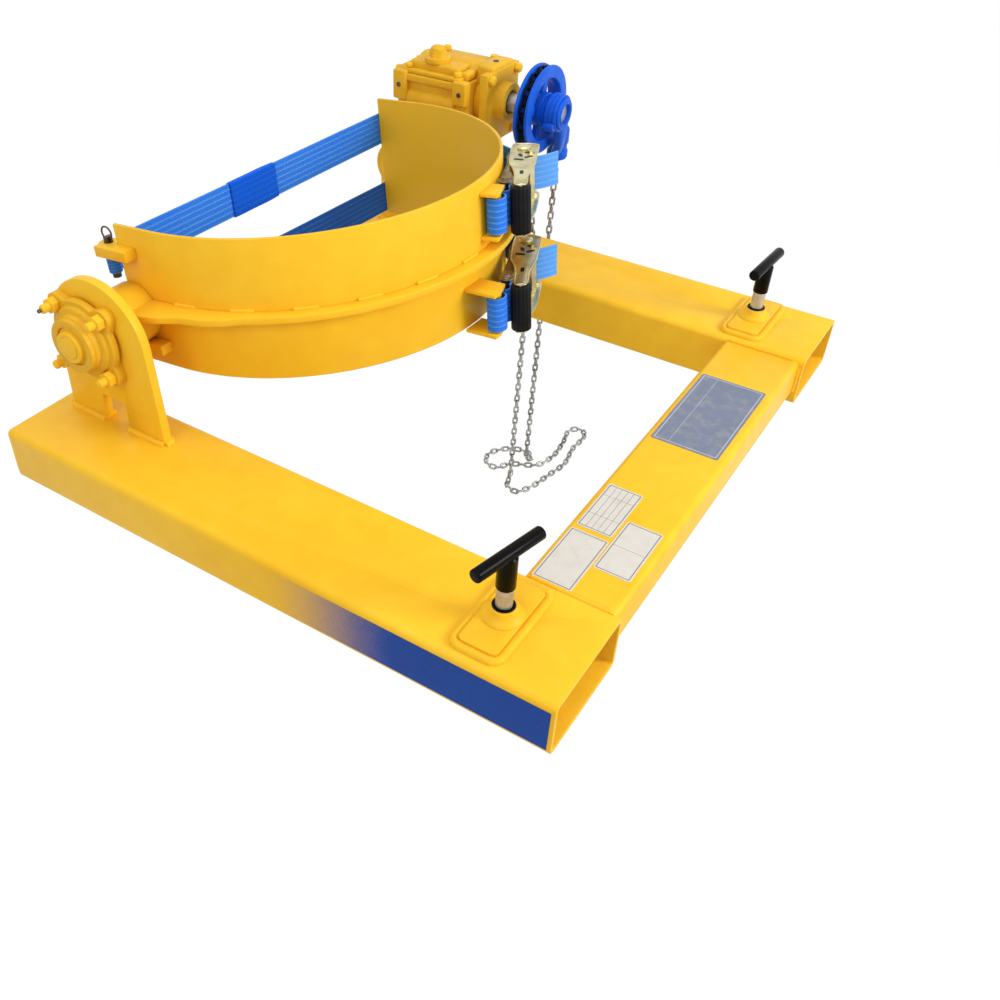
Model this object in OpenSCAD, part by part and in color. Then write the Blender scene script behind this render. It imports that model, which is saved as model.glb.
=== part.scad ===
/* [Arms and cross member] */
// Clear gap between an arm and the cradle shell, seen from above
arm_clear = 25; // [20:1:60]
// Width of an arm's box section
arm_w = 160; // [140:1:180]
// Height of an arm's box section
arm_h = 80; // [74:1:100]
// Wall of an arm's box section
arm_wall = 6; // [4:0.5:8]
// Length of an arm
arm_len = 850; // [845:1:1000]
// Width of the cross member, along the arms
beam_w = 120; // [90:1:160]
// Height of the cross member
beam_h = 60; // [50:1:70]
// Wall of the cross member
beam_wall = 5; // [3:0.5:8]
// Set back of the cross member from the pocket mouths
beam_setback = 7; // [2:1:60]

/* [Clamp screws] */
// Distance of the clamp screws from the pocket mouths
clamp_y = 110; // [80:1:200]
// Length of a clamp pad across the arm
pad_len = 118; // [80:1:130]
// Width of a clamp pad along the arm
pad_w = 50; // [44:1:80]
// Thickness of a clamp pad
pad_t = 8; // [6:0.5:14]
// Width across flats of the clamp nut
nut_af = 30; // [27:1:36]
// Height of the clamp nut
nut_h = 14; // [10:0.5:20]
// Diameter of the clamp screw
screw_d = 20; // [16:0.5:22]
// Diameter of the clamp foot
foot_d = 44; // [34:1:60]
// Thickness of the clamp foot
foot_t = 8; // [6:0.5:12]
// Height of the T-handle over the arm
handle_rise = 98; // [85:1:120]
// Length of the T-handle's bar
handle_len = 104; // [70:1:140]
// Travel of the clamp foot
clamp_travel = 22; // [10:1:24]

/* [Drum cradle] */
// Outer radius of the cradle shell
shell_r = 300; // [280:1:302]
// Thickness of the cradle shell
shell_t = 5; // [3:0.5:8]
// Height of the shell above the pivot
shell_up = 120; // [115:1:160]
// Depth of the shell below the pivot
shell_down = 76; // [74:1:120]
// Distance of the drum's centre behind the pivot
drum_setback = 57; // [40:1:80]
// Reach of the shell's straight ends in front of the pivot
shell_reach = 10; // [4:1:14]
// Width of the stiffening ring, outwards from the shell
ring_w = 20; // [8:1:24]
// Thickness of the stiffening ring
ring_t = 10; // [6:1:14]
// Tilt of the cradle as stored
rest_tilt = -5.9; // [-10:0.1:0]

/* [Pivot] */
// Distance of the pivot from the arms' far ends
pivot_set = 95; // [90:1:110]
// Height of the pivot over the arms
pivot_rise = 135; // [130:1:160]
// Diameter of the trunnion shafts
shaft_d = 30; // [25:1:34]
// Diameter of the trunnion bosses
boss_d = 84; // [66:1:90]
// Thickness of a bearing bracket
bracket_t = 13; // [8:1:20]
// Width of a bearing bracket at its foot
bracket_w = 179; // [170:1:196]
// Radius of a bearing bracket's round top
arch_r = 83; // [76:1:88]
// Clear gap between a boss and its bracket
side_gap = 22; // [12:1:30]

/* [Drive] */
// Centre distance of the worm and the worm wheel
worm_rise = 86; // [84:0.5:90]
// Teeth of the worm wheel
wheel_teeth = 30; // [30:1:30]
// Module of the worm gear
gear_module = 3.8; // [3.6:0.05:3.9]
// Outer radius of the hand chain wheel
chain_wheel_r = 73; // [70:1:80]
// Distance of the chain wheel's middle plane from the worm wheel's axis
chain_wheel_set = 181; // [178:1:195]
// Distance of the worm axis from the right bearing bracket
worm_offset = 112; // [110:1:120]

/* [Straps] */
// Width of the webbing
web_w = 50; // [40:1:50]
// Thickness of the webbing
web_t = 3; // [2:0.5:4]
// Height of the upper strap's centre over the pivot
upper_strap_z = 70; // [66:1:74]
// Depth of the lower strap's centre under the pivot at its near end
lower_strap_z = 38; // [36:1:40]
// Length of a ratchet from its spool to its bolt
ratchet_len = 116; // [110:1:124]
// Diameter of a strap pin
strap_pin_d = 12; // [8:1:14]
// Forward reach of the strap pins from the pivot
strap_pin_y = 26; // [24:1:30]

/* [Hidden] */
$fn = 64;

// Clearances: beside a seat, in a running fit, and through a cut
seat = 0.3;
run = 0.08;
cut = 1;

arm_gap = 2 * (shell_r + arm_clear);
arm_x = arm_gap / 2 + arm_w / 2;
arm_top = arm_h / 2;
arm_out = arm_gap / 2 + arm_w;
arm_corner = 10;
beam_drop = 4;
beam_top = arm_top - beam_drop;
beam_corner = 9;
cap_t = 6;

pad_top = arm_top + pad_t;
nut_top = pad_top + nut_h;
ceiling = arm_top - arm_wall;
handle_z = arm_top + handle_rise;
sleeve_z = nut_top + clamp_travel + cut;
bar_d = 18;
spigot_d = 12;
handle_turn = [-13, -3];

stripe_lead = 5;
stripe_len = 410;
decal_t = 0.6;

pivot_y = arm_len - pivot_set;
pivot_z = arm_top + pivot_rise;
boss_len = 50;
bracket_in = shell_r + boss_len + side_gap;
bracket_out = bracket_in + bracket_t;
// A bracket's foot and top stand a little nearer the pocket mouths than its bearing
arch_shift = -14;
foot_shift = -18;
window_w = 44;
window_h = 42;
foot_y = [foot_shift - bracket_w / 2, foot_shift + bracket_w / 2];
window_y = [foot_shift - window_w / 2, foot_shift + window_w / 2];
bolt_span = 41.5;
lobe_r = 14;
flange_t = 14;
hub_boss_r = 37;
housing_d = 34;
bearing_r = 27;
nut_af_small = 19;
nut_t = 11;
bolt_d = 12;
bolt_gap = 0.5;

worm_x = bracket_out + worm_offset;
worm_z = pivot_z + worm_rise;
wheel_pitch_r = gear_module * wheel_teeth / 2;
worm_pitch_r = worm_rise - wheel_pitch_r;
gear_pitch = PI * gear_module;
cavity_r = wheel_pitch_r + gear_module + 2;
case_r = cavity_r + 9;
case_w = 134;
case_l = 144;
case_top = worm_z + 37;
lid_t = 20;
lid_plate = 8;
flange_y = pivot_y - case_l / 2 - 33;
worm_shaft_d = 30;
chain_wheel_y = pivot_y - chain_wheel_set;
hub_r = 30;
hub_lead = 50;
hub_y = chain_wheel_y - hub_lead;
groove_r = chain_wheel_r - 13;
rim_r = groove_r - 9;
web_half = 6;
window_r = 8;
window_arc = 16;
flange_half = 13.5;
flange_plate = 4.5;

shell_in = shell_r - shell_t;
rib_z = [13, 13 + ring_t];
ring_r = shell_r + ring_w;
right_boss_d = 44;
right_boss_len = 20;
pin_x = -shell_r;
// Heights of the straps' eyes, under their lugs
upper_eye_z = [51, 79];
lower_eye_z = [-70, -50];
lug_t = 14;
lug_side = 20;
lug_r = 14;
pin_over = 8;
pin_under = 7;
pin_grip = 22;
pin_flat_h = 14;
pin_hole = 5;
ring_mean_r = 9;
ring_wire = 2.5;
strap_drop = 10;

ratchet_r = shell_r + 32;
handle_reach = 151;
handle_lean = 11;
frame_half = 27;
plate_t = 2.5;
// Place of a ratchet's spool round the drum, and how far its frame turns from the radius there
upper_ratchet = [-54, 109.8];
lower_ratchet = [-64, 101];

chain_d = 13;
floor_z = -560;

yellow = "#f2b91e";
blue = "#1557d6";
steel = "#b9b9b4";
black = "#1c1c1e";
webbing = "#2f7be8";

// The cradle's own frame: origin on the pivot, tilted with the cradle
module in_cradle() translate([0, pivot_y, pivot_z]) rotate([rest_tilt, 0, 0]) children();

// A cylinder along X between two places
module rod_x(x0, x1, r) translate([min(x0, x1), 0, 0]) rotate([0, 90, 0])
    cylinder(r = r, h = abs(x1 - x0));

// A cylinder along Y between two places
module rod_y(y0, y1, r) translate([0, max(y0, y1), 0]) rotate([90, 0, 0])
    cylinder(r = r, h = abs(y1 - y0));

// A rectangle with round corners, centred
module round_rect(w, h, r) {
    square([w - 2 * r, h], center = true);
    square([w, h - 2 * r], center = true);
    for (x = [-1, 1], y = [-1, 1]) translate([x * (w / 2 - r), y * (h / 2 - r)]) circle(r);
}

// A rectangular tube lying along Y from y0
module box_tube_y(w, h, wall, corner, y0, len) translate([0, y0 + len, 0]) rotate([90, 0, 0])
    difference() {
        linear_extrude(len) round_rect(w, h, corner);
        translate([0, 0, -cut]) linear_extrude(len + 2 * cut)
            round_rect(w - 2 * wall, h - 2 * wall, max(1, corner - wall));
    }

module arm_tube(s) color(yellow) difference() {
    translate([s * arm_x, 0, 0]) box_tube_y(arm_w, arm_h, arm_wall, arm_corner, 0, arm_len);
    translate([s * arm_x, clamp_y, 0]) cylinder(d = screw_d + 2, h = arm_h);
}
module left_arm_tube() arm_tube(-1);
module right_arm_tube() arm_tube(1);

module arm_end_caps() color(yellow) for (s = [-1, 1])
    translate([s * arm_x, arm_len + cap_t, 0]) rotate([90, 0, 0])
        linear_extrude(cap_t) round_rect(arm_w - 6, arm_h - 6, arm_corner - 3);

module cross_member() color(yellow)
    translate([-arm_gap / 2, beam_setback + beam_w / 2, beam_top - beam_h / 2])
        rotate([90, 0, 90]) difference() {
            linear_extrude(arm_gap) round_rect(beam_w, beam_h, beam_corner);
            translate([0, 0, -cut]) linear_extrude(arm_gap + 2 * cut)
                round_rect(beam_w - 2 * beam_wall, beam_h - 2 * beam_wall, beam_corner - beam_wall);
        }

// A fillet weld: a triangular bead between two places
module bead(p, q, up, side, leg = 5) {
    d = q - p;
    len = norm(d);
    translate(p) multmatrix([
        [side[0], up[0], d[0] / len, 0], [side[1], up[1], d[1] / len, 0],
        [side[2], up[2], d[2] / len, 0], [0, 0, 0, 1]])
        linear_extrude(len) polygon([[seat / 3, seat / 3], [leg, seat / 3], [seat / 3, leg]]);
}

module weld_beads() color(yellow) {
    gap = seat / 3;
    for (s = [-1, 1]) {
        // along the feet of the bearing brackets
        for (y = [[foot_y[0], window_y[0]], [window_y[1], foot_y[1]]])
            bead([s * bracket_out, pivot_y + y[0] + 1, arm_top], [s * bracket_out, pivot_y + y[1] - 1, arm_top],
                [0, 0, 1], [s, 0, 0]);
        // where the cross member meets the arms
        bead([s * arm_gap / 2, beam_setback + beam_corner, beam_top],
            [s * arm_gap / 2, beam_setback + beam_w - beam_corner, beam_top], [0, 0, 1], [-s, 0, 0], 4);
        // round the clamp pads
        for (t = [-1, 1]) {
            bead([s * arm_x - pad_len / 2 + 8, clamp_y + t * pad_w / 2, arm_top],
                [s * arm_x + pad_len / 2 - 8, clamp_y + t * pad_w / 2, arm_top], [0, 0, 1], [0, t, 0], 6);
            bead([s * arm_x + t * pad_len / 2, clamp_y - pad_w / 2 + 8, arm_top],
                [s * arm_x + t * pad_len / 2, clamp_y + pad_w / 2 - 8, arm_top], [0, 0, 1], [t, 0, 0], 6);
        }
    }
}

module clamp_pads() color(yellow) for (s = [-1, 1]) translate([s * arm_x, clamp_y, arm_top])
    difference() {
        linear_extrude(pad_t) round_rect(pad_len, pad_w, 8);
        translate([0, 0, -cut]) cylinder(d = screw_d + 2, h = pad_t + 2 * cut);
    }

module clamp_nuts() color(yellow) for (s = [-1, 1]) translate([s * arm_x, clamp_y, pad_top])
    difference() {
        cylinder(d = nut_af / cos(30), h = nut_h, $fn = 6);
        translate([0, 0, -cut]) cylinder(d = screw_d + 2 * run, h = nut_h + 2 * cut);
    }

// Screw, with the spigot that carries the foot
module clamp_screw(s) color(steel) translate([s * arm_x, clamp_y, 0]) {
    translate([0, 0, ceiling - seat]) cylinder(d = screw_d, h = handle_z - bar_d / 2 - ceiling);
    translate([0, 0, ceiling - foot_t + 2]) cylinder(d = spigot_d, h = foot_t);
}
module left_clamp_screw() clamp_screw(-1);
module right_clamp_screw() clamp_screw(1);

// Black T-bar and the sleeve on the screw's top
module clamp_handle(s) color(black) translate([s * arm_x, clamp_y, 0])
    rotate([0, 0, handle_turn[(s + 1) / 2]]) difference() {
        union() {
            translate([0, 0, handle_z]) rod_x(-handle_len / 2, handle_len / 2, bar_d / 2);
            translate([0, 0, sleeve_z]) cylinder(d = screw_d + 4, h = handle_z - sleeve_z);
        }
        translate([0, 0, sleeve_z - cut])
            cylinder(d = screw_d + 2 * run, h = handle_z - bar_d / 2 - sleeve_z + cut + seat);
    }
module left_clamp_handle() clamp_handle(-1);
module right_clamp_handle() clamp_handle(1);

// Round foot under the pocket's roof, running on the screw's spigot
module clamp_foot(s) color(steel) translate([s * arm_x, clamp_y, ceiling - 2 * seat - foot_t])
    difference() {
        cylinder(d = foot_d, h = foot_t);
        translate([0, 0, foot_t - 6.2]) cylinder(d = spigot_d + 2 * run, h = 7);
    }
module left_clamp_foot() clamp_foot(-1);
module right_clamp_foot() clamp_foot(1);

// Bearing bracket: a round-topped plate, widening a little to its two feet
module bearing_bracket(s) color(yellow) translate([0, pivot_y, 0]) difference() {
    hull() {
        translate([0, arch_shift, pivot_z]) rod_x(s * bracket_in, s * bracket_out, arch_r);
        translate([min(s * bracket_in, s * bracket_out), foot_y[0], arm_top]) cube([bracket_t, bracket_w, cut]);
    }
    translate([0, 0, pivot_z]) rod_x(s * (bracket_in - cut), s * (bracket_out + cut), bearing_r - 4);
    translate([min(s * bracket_in, s * bracket_out) - cut, window_y[0], arm_top - cut])
        cube([bracket_t + 2 * cut, window_w, window_h + cut]);
    translate([0, 0, pivot_z]) at_bolts()
        rod_x(s * (bracket_in - cut), s * (bracket_out + cut), bolt_d / 2 + bolt_gap);
}
module at_bolts() for (y = [-1, 1], z = [-1, 1]) translate([0, y * bolt_span, z * bolt_span]) children();
module left_bearing_bracket() bearing_bracket(-1);
module right_bearing_bracket() bearing_bracket(1);

// Four-lobed flange bearing castings, one on each bracket
module bearing_housings() color(yellow) for (s = [-1, 1]) translate([0, pivot_y, pivot_z]) difference() {
    union() {
        for (y = [-1, 1], z = [-1, 1]) hull() {
            translate([0, y * bolt_span, z * bolt_span]) rod_x(s * bracket_out, s * (bracket_out + flange_t), lobe_r);
            rod_x(s * bracket_out, s * (bracket_out + flange_t), hub_boss_r);
        }
        rod_x(s * bracket_out, s * (bracket_out + housing_d), hub_boss_r);
    }
    rod_x(s * (bracket_out - cut), s * (bracket_out + housing_d + cut), bearing_r);
    at_bolts() rod_x(s * (bracket_out - cut), s * (bracket_out + flange_t + cut), bolt_d / 2 + bolt_gap);
}

// Studs with a head behind the bracket and a nut on the flange
module bearing_bolts() color(yellow) for (s = [-1, 1]) translate([0, pivot_y, pivot_z]) at_bolts() {
    rod_x(s * (bracket_in - seat / 2), s * (bracket_out + flange_t + nut_t + 10), bolt_d / 2);
    rod_x(s * (bracket_in - nut_t + 2), s * (bracket_in - seat / 2), nut_af_small / 2 / cos(30), $fn = 6);
    rod_x(s * (bracket_out + flange_t + seat / 2), s * (bracket_out + flange_t + nut_t),
        nut_af_small / 2 / cos(30), $fn = 6);
}

// Inner rings that clamp the trunnion shafts, proud of the castings
module bearing_inner_rings() color(steel) for (s = [-1, 1]) translate([0, pivot_y, pivot_z]) difference() {
    union() {
        rod_x(s * (bracket_out + 3), s * (bracket_out + housing_d - 3), bearing_r - seat);
        rod_x(s * (bracket_out + 3), s * (bracket_out + housing_d + 5), bearing_r - 5);
    }
    rod_x(s * bracket_out, s * (bracket_out + housing_d + 10), shaft_d / 2 + run / 4);
}

// Saddle under the round part of the gear case
module gearbox_pedestal() color(yellow) translate([0, pivot_y, 0]) difference() {
    union() {
        translate([worm_x - 75, -65, arm_top]) cube([arm_out - worm_x + 73, 130, 10]);
        translate([worm_x - 40, -55, arm_top]) cube([arm_out - worm_x + 36, 110, pivot_rise - 35]);
    }
    translate([0, 0, pivot_z]) rod_x(worm_x - 100, worm_x + 100, case_r + seat);
}

// Hollow gear case with its round lower part
module gearbox_housing() color(yellow) translate([worm_x, pivot_y, 0]) difference() {
    union() {
        translate([0, 0, pivot_z]) rod_x(-50, 50, case_r);
        translate([-case_w / 2, -case_l / 2, pivot_z + 42]) cube([case_w, case_l, case_top - pivot_z - 42]);
        translate([0, 0, pivot_z]) rod_x(-case_w / 2 + 6, case_w / 2 - 6, 48);
    }
    translate([0, 0, pivot_z]) rod_x(-17, 17, cavity_r);
    translate([0, 0, worm_z]) rod_y(-case_l / 2 - cut, case_l / 2 + cut, 31);
    translate([0, 0, worm_z]) rod_y(-48, 48, worm_pitch_r + gear_module + 2);
    translate([0, 0, pivot_z]) rod_x(-case_w, case_w, shaft_d / 2 + 2);
    for (s = [-1, 1]) translate([0, 0, pivot_z]) rod_x(s * 24, s * 46, 34);
}

module gearbox_lid() color(yellow) translate([worm_x, pivot_y, case_top + seat]) {
    translate([-case_w / 2 - 4, -case_l / 2 + 12, 0]) cube([case_w + 8, case_l - 24, lid_plate]);
    translate([-case_w / 2 + 17, -case_l / 2 + 22, lid_plate]) cube([case_w - 34, case_l - 44, lid_t - lid_plate]);
}

module worm_input_flange() color(yellow) translate([worm_x, 0, worm_z]) difference() {
    union() {
        translate([-55, flange_y, -69]) cube([110, 15, 123]);
        rod_y(flange_y + 14, pivot_y - case_l / 2 - seat, 44);
        rod_y(flange_y - 20, flange_y + 1, 32);
    }
    rod_y(flange_y - 30, pivot_y, worm_shaft_d / 2 + 6);
}

module worm_end_flange() color(yellow) translate([worm_x, pivot_y + case_l / 2 + seat, worm_z]) difference() {
    translate([-42, 0, -46]) cube([84, 17, 70 + 12]);
    rod_y(-cut, 10, 22);
}

module gearbox_filler_cap() color(yellow) translate([worm_x - case_w / 2 + 25, pivot_y + 5, case_top + 2 * seat + lid_t]) {
    cylinder(d = 46, h = 8);
    cylinder(d = 30, h = 20, $fn = 6);
}

// Bolts on the lid, the input flange and the end flange
module gearbox_bolts() color(yellow) translate([worm_x, 0, 0]) {
    for (x = [-1, 1], y = [-1, 1])
        translate([x * (case_w / 2 - 5), pivot_y + y * (case_l / 2 - 22), case_top + 2 * seat + lid_plate])
            cylinder(d = 15, h = 7, $fn = 6);
    for (x = [-1, 1], z = [-60, 45])
        translate([x * 45, 0, worm_z + z]) rod_y(flange_y - 9, flange_y - seat, 8.5, $fn = 6);
    for (x = [-1, 1], z = [-38, 28])
        translate([x * 33, 0, worm_z + z])
            rod_y(pivot_y + case_l / 2 + 17 + 2 * seat, pivot_y + case_l / 2 + 25, 7.5, $fn = 6);
}

// Rolling bearings inside the gear case: two on the worm, two on the output shaft
module gearbox_bearings() color(steel) {
    for (y = [8 - case_l / 2, case_l / 2 - 16]) translate([worm_x, pivot_y, worm_z]) difference() {
        rod_y(y, y + 14, 31 - seat / 3);
        rod_y(y - cut, y + 15, worm_shaft_d / 2 + run);
    }
    for (s = [-1, 1]) translate([worm_x, pivot_y, pivot_z]) difference() {
        rod_x(s * 25, s * 43, 34 - seat / 3);
        rod_x(s * 24, s * 44, shaft_d / 2 + run);
    }
}

// Thread section at angle a of the worm, from the lowest turn on
function thread_point(a, r, dy) = [r * sin(a), gear_pitch * (a - 180) / 360 + dy, r * cos(a)];
worm_turns = 2.5;
worm_step = 15;
thread_angles = [180 - 360 * worm_turns : worm_step : 180 + 360 * worm_turns];
thread_root = worm_pitch_r - gear_module;
thread_tip = worm_pitch_r + gear_module * 0.8;
thread_points = [for (a = thread_angles) each [
    thread_point(a, thread_root - 1, -gear_pitch * 0.22), thread_point(a, thread_tip, -gear_pitch * 0.1),
    thread_point(a, thread_tip, gear_pitch * 0.1), thread_point(a, thread_root - 1, gear_pitch * 0.22)]];
thread_rings = len(thread_points) / 4;

// Skin over rings of n points, with flat ends
function skin(rings, n) = [
    [for (i = [0 : n - 1]) n - 1 - i],
    for (k = [0 : rings - 2], i = [0 : n - 1]) each [
        [k * n + i, k * n + (i + 1) % n, (k + 1) * n + (i + 1) % n],
        [k * n + i, (k + 1) * n + (i + 1) % n, (k + 1) * n + i]],
    [for (i = [0 : n - 1]) (rings - 1) * n + i]];

module worm_shaft() color(steel) translate([worm_x, 0, worm_z]) {
    rod_y(hub_y + 6, pivot_y + case_l / 2 + 3, worm_shaft_d / 2);
    translate([0, pivot_y, 0]) rod_y(-40, 40, thread_root);
    translate([0, pivot_y, 0]) polyhedron(thread_points, skin(thread_rings, 4), convexity = 10);
}

// Bronze wheel with one gap at the top, in mesh with the worm's thread
module worm_wheel() color("#b98a3a") translate([worm_x, pivot_y, pivot_z]) difference() {
    rod_x(-11, 11, wheel_pitch_r + gear_module * 0.8);
    for (i = [0 : wheel_teeth - 1]) rotate([i * 360 / wheel_teeth, 0, 0])
        translate([-12, 0, wheel_pitch_r]) rotate([90, 0, 90]) linear_extrude(24)
            polygon([[-gear_pitch * 0.16, -gear_module * 1.05], [gear_pitch * 0.16, -gear_module * 1.05],
                [gear_pitch * 0.34, gear_module], [-gear_pitch * 0.34, gear_module]]);
    rod_x(-12, 12, shaft_d / 2 + run / 4);
}

// Hand chain wheel: hub, web with windows, and a rim with a chain groove
module chain_wheel() color(blue) translate([worm_x, 0, worm_z]) difference() {
    union() {
        rod_y(hub_y, chain_wheel_y + 20, hub_r);
        translate([0, chain_wheel_y, 0]) rotate([90, 0, 0]) rotate_extrude($fn = 96)
            polygon([[20, -web_half], [rim_r, -web_half], [rim_r, -flange_half], [chain_wheel_r, -flange_half],
                [chain_wheel_r, flange_plate - flange_half], [groove_r, -web_half - 1], [groove_r, web_half + 1],
                [chain_wheel_r, flange_half - flange_plate], [chain_wheel_r, flange_half],
                [rim_r, flange_half], [rim_r, web_half], [20, web_half]]);
    }
    rod_y(hub_y - cut, chain_wheel_y + 30, worm_shaft_d / 2 + run / 4);
    // curved windows in the web
    for (i = [0 : 4], half = [0, 1]) hull() for (a = [0, window_arc])
        rotate([0, i * 72 + 36 + (half - 1) * window_arc + a, 0]) translate([0, 0, (hub_r + rim_r) / 2])
            rod_y(chain_wheel_y - web_half - 2, chain_wheel_y + web_half + 2, window_r);
}

// Chain guide: a collar on the hub, an arm, and an eye round the hanging strand
guide_x = worm_x + chain_wheel_r - 2;
guide_y = chain_wheel_y - 7;
module chain_guide() color(blue) difference() {
    union() {
        translate([worm_x, 0, worm_z]) rod_y(hub_y + 4, hub_y + 26, hub_r + 8);
        translate([worm_x, hub_y + 4, worm_z - 38]) cube([guide_x - worm_x + 2, 18, 12]);
        translate([guide_x - 9, hub_y + 4, worm_z - 100]) cube([18, 22, 74]);
        translate([guide_x, guide_y, worm_z - 108]) cylinder(r = 19, h = 60);
    }
    translate([worm_x, 0, worm_z]) rod_y(hub_y, hub_y + 40, hub_r + run);
    translate([guide_x, guide_y, worm_z - 120]) cylinder(r = 13, h = 90);
    translate([worm_x, 0, worm_z]) rod_y(chain_wheel_y - flange_half - 1.5, chain_wheel_y + 40, chain_wheel_r + 3);
}

// Blank labels and plate on the cross member: corner from the beam's own corner, and size
labels = [[[4, 61], [104, 52]], [[116, 63], [97, 48]], [[57, 11], [100, 48]], [[340, 13], [195, 97]]];
module blank_labels() color("#e8e8e6") for (l = labels)
    translate([-arm_gap / 2 + l[0][0], beam_setback + l[0][1], beam_top]) cube([l[1][0], l[1][1], decal_t]);

module side_stripe() color("#1b4f9c")
    translate([-arm_out - decal_t, stripe_lead, -arm_top + arm_corner])
        cube([decal_t, stripe_len, arm_h - 2 * arm_corner]);

// Outline of the cradle in plan: a half circle with straight ends, about the drum's centre
module cradle_outline(r, reach) {
    intersection() {
        circle(r, $fn = 128);
        translate([-r - cut, -r - cut]) square([2 * r + 2 * cut, r + cut]);
    }
    translate([-r, -0.01]) square([2 * r, reach + 0.01]);
}

module drum_shell() color(yellow) in_cradle() translate([0, -drum_setback, -shell_down])
    linear_extrude(shell_up + shell_down) difference() {
        cradle_outline(shell_r, drum_setback + shell_reach);
        cradle_outline(shell_in, drum_setback + shell_reach + cut);
    }

// One widened end of the ring, in plan
swell = shell_r + boss_len - 2 - ring_r;
module ring_end() polygon(concat(
    [[shell_r - 90, -190], [ring_r - 30, -190], [ring_r - 13, -168]],
    [for (p = [[0, -142], [0.21, -112], [0.39, -98], [0.61, -86], [0.82, -74], [0.96, -60], [1, -30]])
        [ring_r + p[0] * swell, p[1]]],
    [[shell_r - 90, -30]]));

// Ring round the shell, widening to the trunnion bosses
module stiffening_ring() color(yellow) in_cradle() difference() {
    translate([0, 0, rib_z[0]]) union() {
        intersection() {
            translate([0, -drum_setback, 0]) cylinder(r = ring_r, h = ring_t, $fn = 128);
            translate([-ring_r - 1, -ring_r - drum_setback - 1, 0]) cube([2 * ring_r + 2, ring_r - 124, ring_t]);
        }
        linear_extrude(ring_t) ring_end();
        linear_extrude(ring_t) mirror([1, 0]) ring_end();
    }
    translate([0, -drum_setback, 0]) cylinder(r = shell_r + seat, h = 60, $fn = 128);
    translate([-shell_r - seat, -drum_setback, 0]) cube([2 * (shell_r + seat), 100, 60]);
    rod_x(-shell_r - 2 * boss_len, shell_r + 2 * boss_len, boss_d / 2 + seat);
}

module trunnion_bosses() color(yellow) in_cradle() {
    difference() {
        rod_x(-shell_r - seat, -shell_r - boss_len, boss_d / 2);
        rod_x(-shell_r, -shell_r - boss_len - 10, shaft_d / 2 + run / 4);
    }
    difference() {
        union() {
            rod_x(shell_r + seat, shell_r + right_boss_len, right_boss_d / 2);
            rod_x(shell_r + right_boss_len, shell_r + boss_len, boss_d / 2);
        }
        rod_x(shell_r + 10, shell_r + boss_len + 10, shaft_d / 2 + run / 4);
    }
}

module left_trunnion_shaft() color(steel) in_cradle()
    rod_x(-shell_r - 2, -bracket_out - housing_d - 6, shaft_d / 2);

module right_trunnion_shaft() color(steel) in_cradle()
    rod_x(shell_r + 12, worm_x + 50, shaft_d / 2);

// Lug plate welded to the shell's outside and reaching forward to a strap pin
module lug(z0, reach_back) translate([0, 0, z0]) linear_extrude(lug_t) difference() {
    union() {
        translate([-shell_r - lug_side, -reach_back]) square([lug_side - seat, reach_back + strap_pin_y]);
        translate([pin_x - lug_side, shell_reach + seat]) square([lug_side + lug_r, strap_pin_y - shell_reach]);
        translate([pin_x, strap_pin_y]) circle(lug_r);
        translate([pin_x - lug_side, shell_reach]) square([lug_side - seat, strap_pin_y - shell_reach + 8]);
    }
    translate([pin_x, strap_pin_y]) circle(strap_pin_d / 2 + run);
}

module strap_lugs() color(yellow) in_cradle() {
    lug(upper_eye_z[1], 24);
    difference() {
        lug(lower_eye_z[1], 52);
        rod_x(-shell_r - 2 * boss_len, -shell_r + cut, boss_d / 2 + seat);
    }
    // strap guide at the far edge
    translate([shell_r + 8, -17, upper_strap_z - web_w / 2 - 6]) cube([4, 27, web_w + 12]);
    for (z = [upper_strap_z - web_w / 2 - 6, upper_strap_z + web_w / 2 + 2])
        translate([shell_r + seat, -17, z]) cube([8 - seat, 27, 4]);
}

// Place a child at a ratchet's spool: x runs to the frame's fixed end
module at_ratchet(r, zc) in_cradle() translate([ratchet_r * cos(r[0]), ratchet_r * sin(r[0]) - drum_setback, zc])
    rotate([0, 0, r[0] - r[1]]) children();

// Place a child on the handle's own axis
module on_handle() rotate([0, 0, handle_lean]) children();

module ratchet_frame() color(steel) {
    for (s = [-1, 1]) translate([0, 0, s > 0 ? frame_half : -frame_half - plate_t]) linear_extrude(plate_t)
        difference() {
            union() {
                circle(16);
                translate([0, -9]) square([ratchet_len, 11]);
                translate(bolt_at) circle(10);
            }
            circle(9 + run);
        }
    // the bolt that holds the short loop, and a floor plate under the webbing
    translate([bolt_at[0], bolt_at[1], -frame_half - plate_t - 4])
        cylinder(d = loop_bolt_d, h = 2 * (frame_half + plate_t + 4));
    translate([40, -9, -frame_half]) cube([60, 2, 2 * frame_half]);
}
module upper_ratchet_frame() at_ratchet(upper_ratchet, upper_strap_z) ratchet_frame();
module lower_ratchet_frame() at_ratchet(lower_ratchet, -lower_strap_z - strap_drop) ratchet_frame();

// Spool core with its slot and two toothed wheels
module ratchet_spool() color(steel) {
    difference() {
        translate([0, 0, -frame_half - 10]) cylinder(r = 9, h = 2 * frame_half + 20);
        translate([-20, -2.5, -frame_half + 1]) cube([40, 5, 2 * frame_half - 2]);
    }
    for (s = [-1, 1]) translate([0, 0, s > 0 ? frame_half + 3 : -frame_half - 6]) linear_extrude(3)
        polygon([for (i = [0 : 23]) let (r = i % 2 == 0 ? 19 : 15) [r * cos(i * 15), r * sin(i * 15)]]);
}
module upper_ratchet_spool() at_ratchet(upper_ratchet, upper_strap_z) ratchet_spool();
module lower_ratchet_spool() at_ratchet(lower_ratchet, -lower_strap_z - strap_drop) ratchet_spool();

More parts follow.
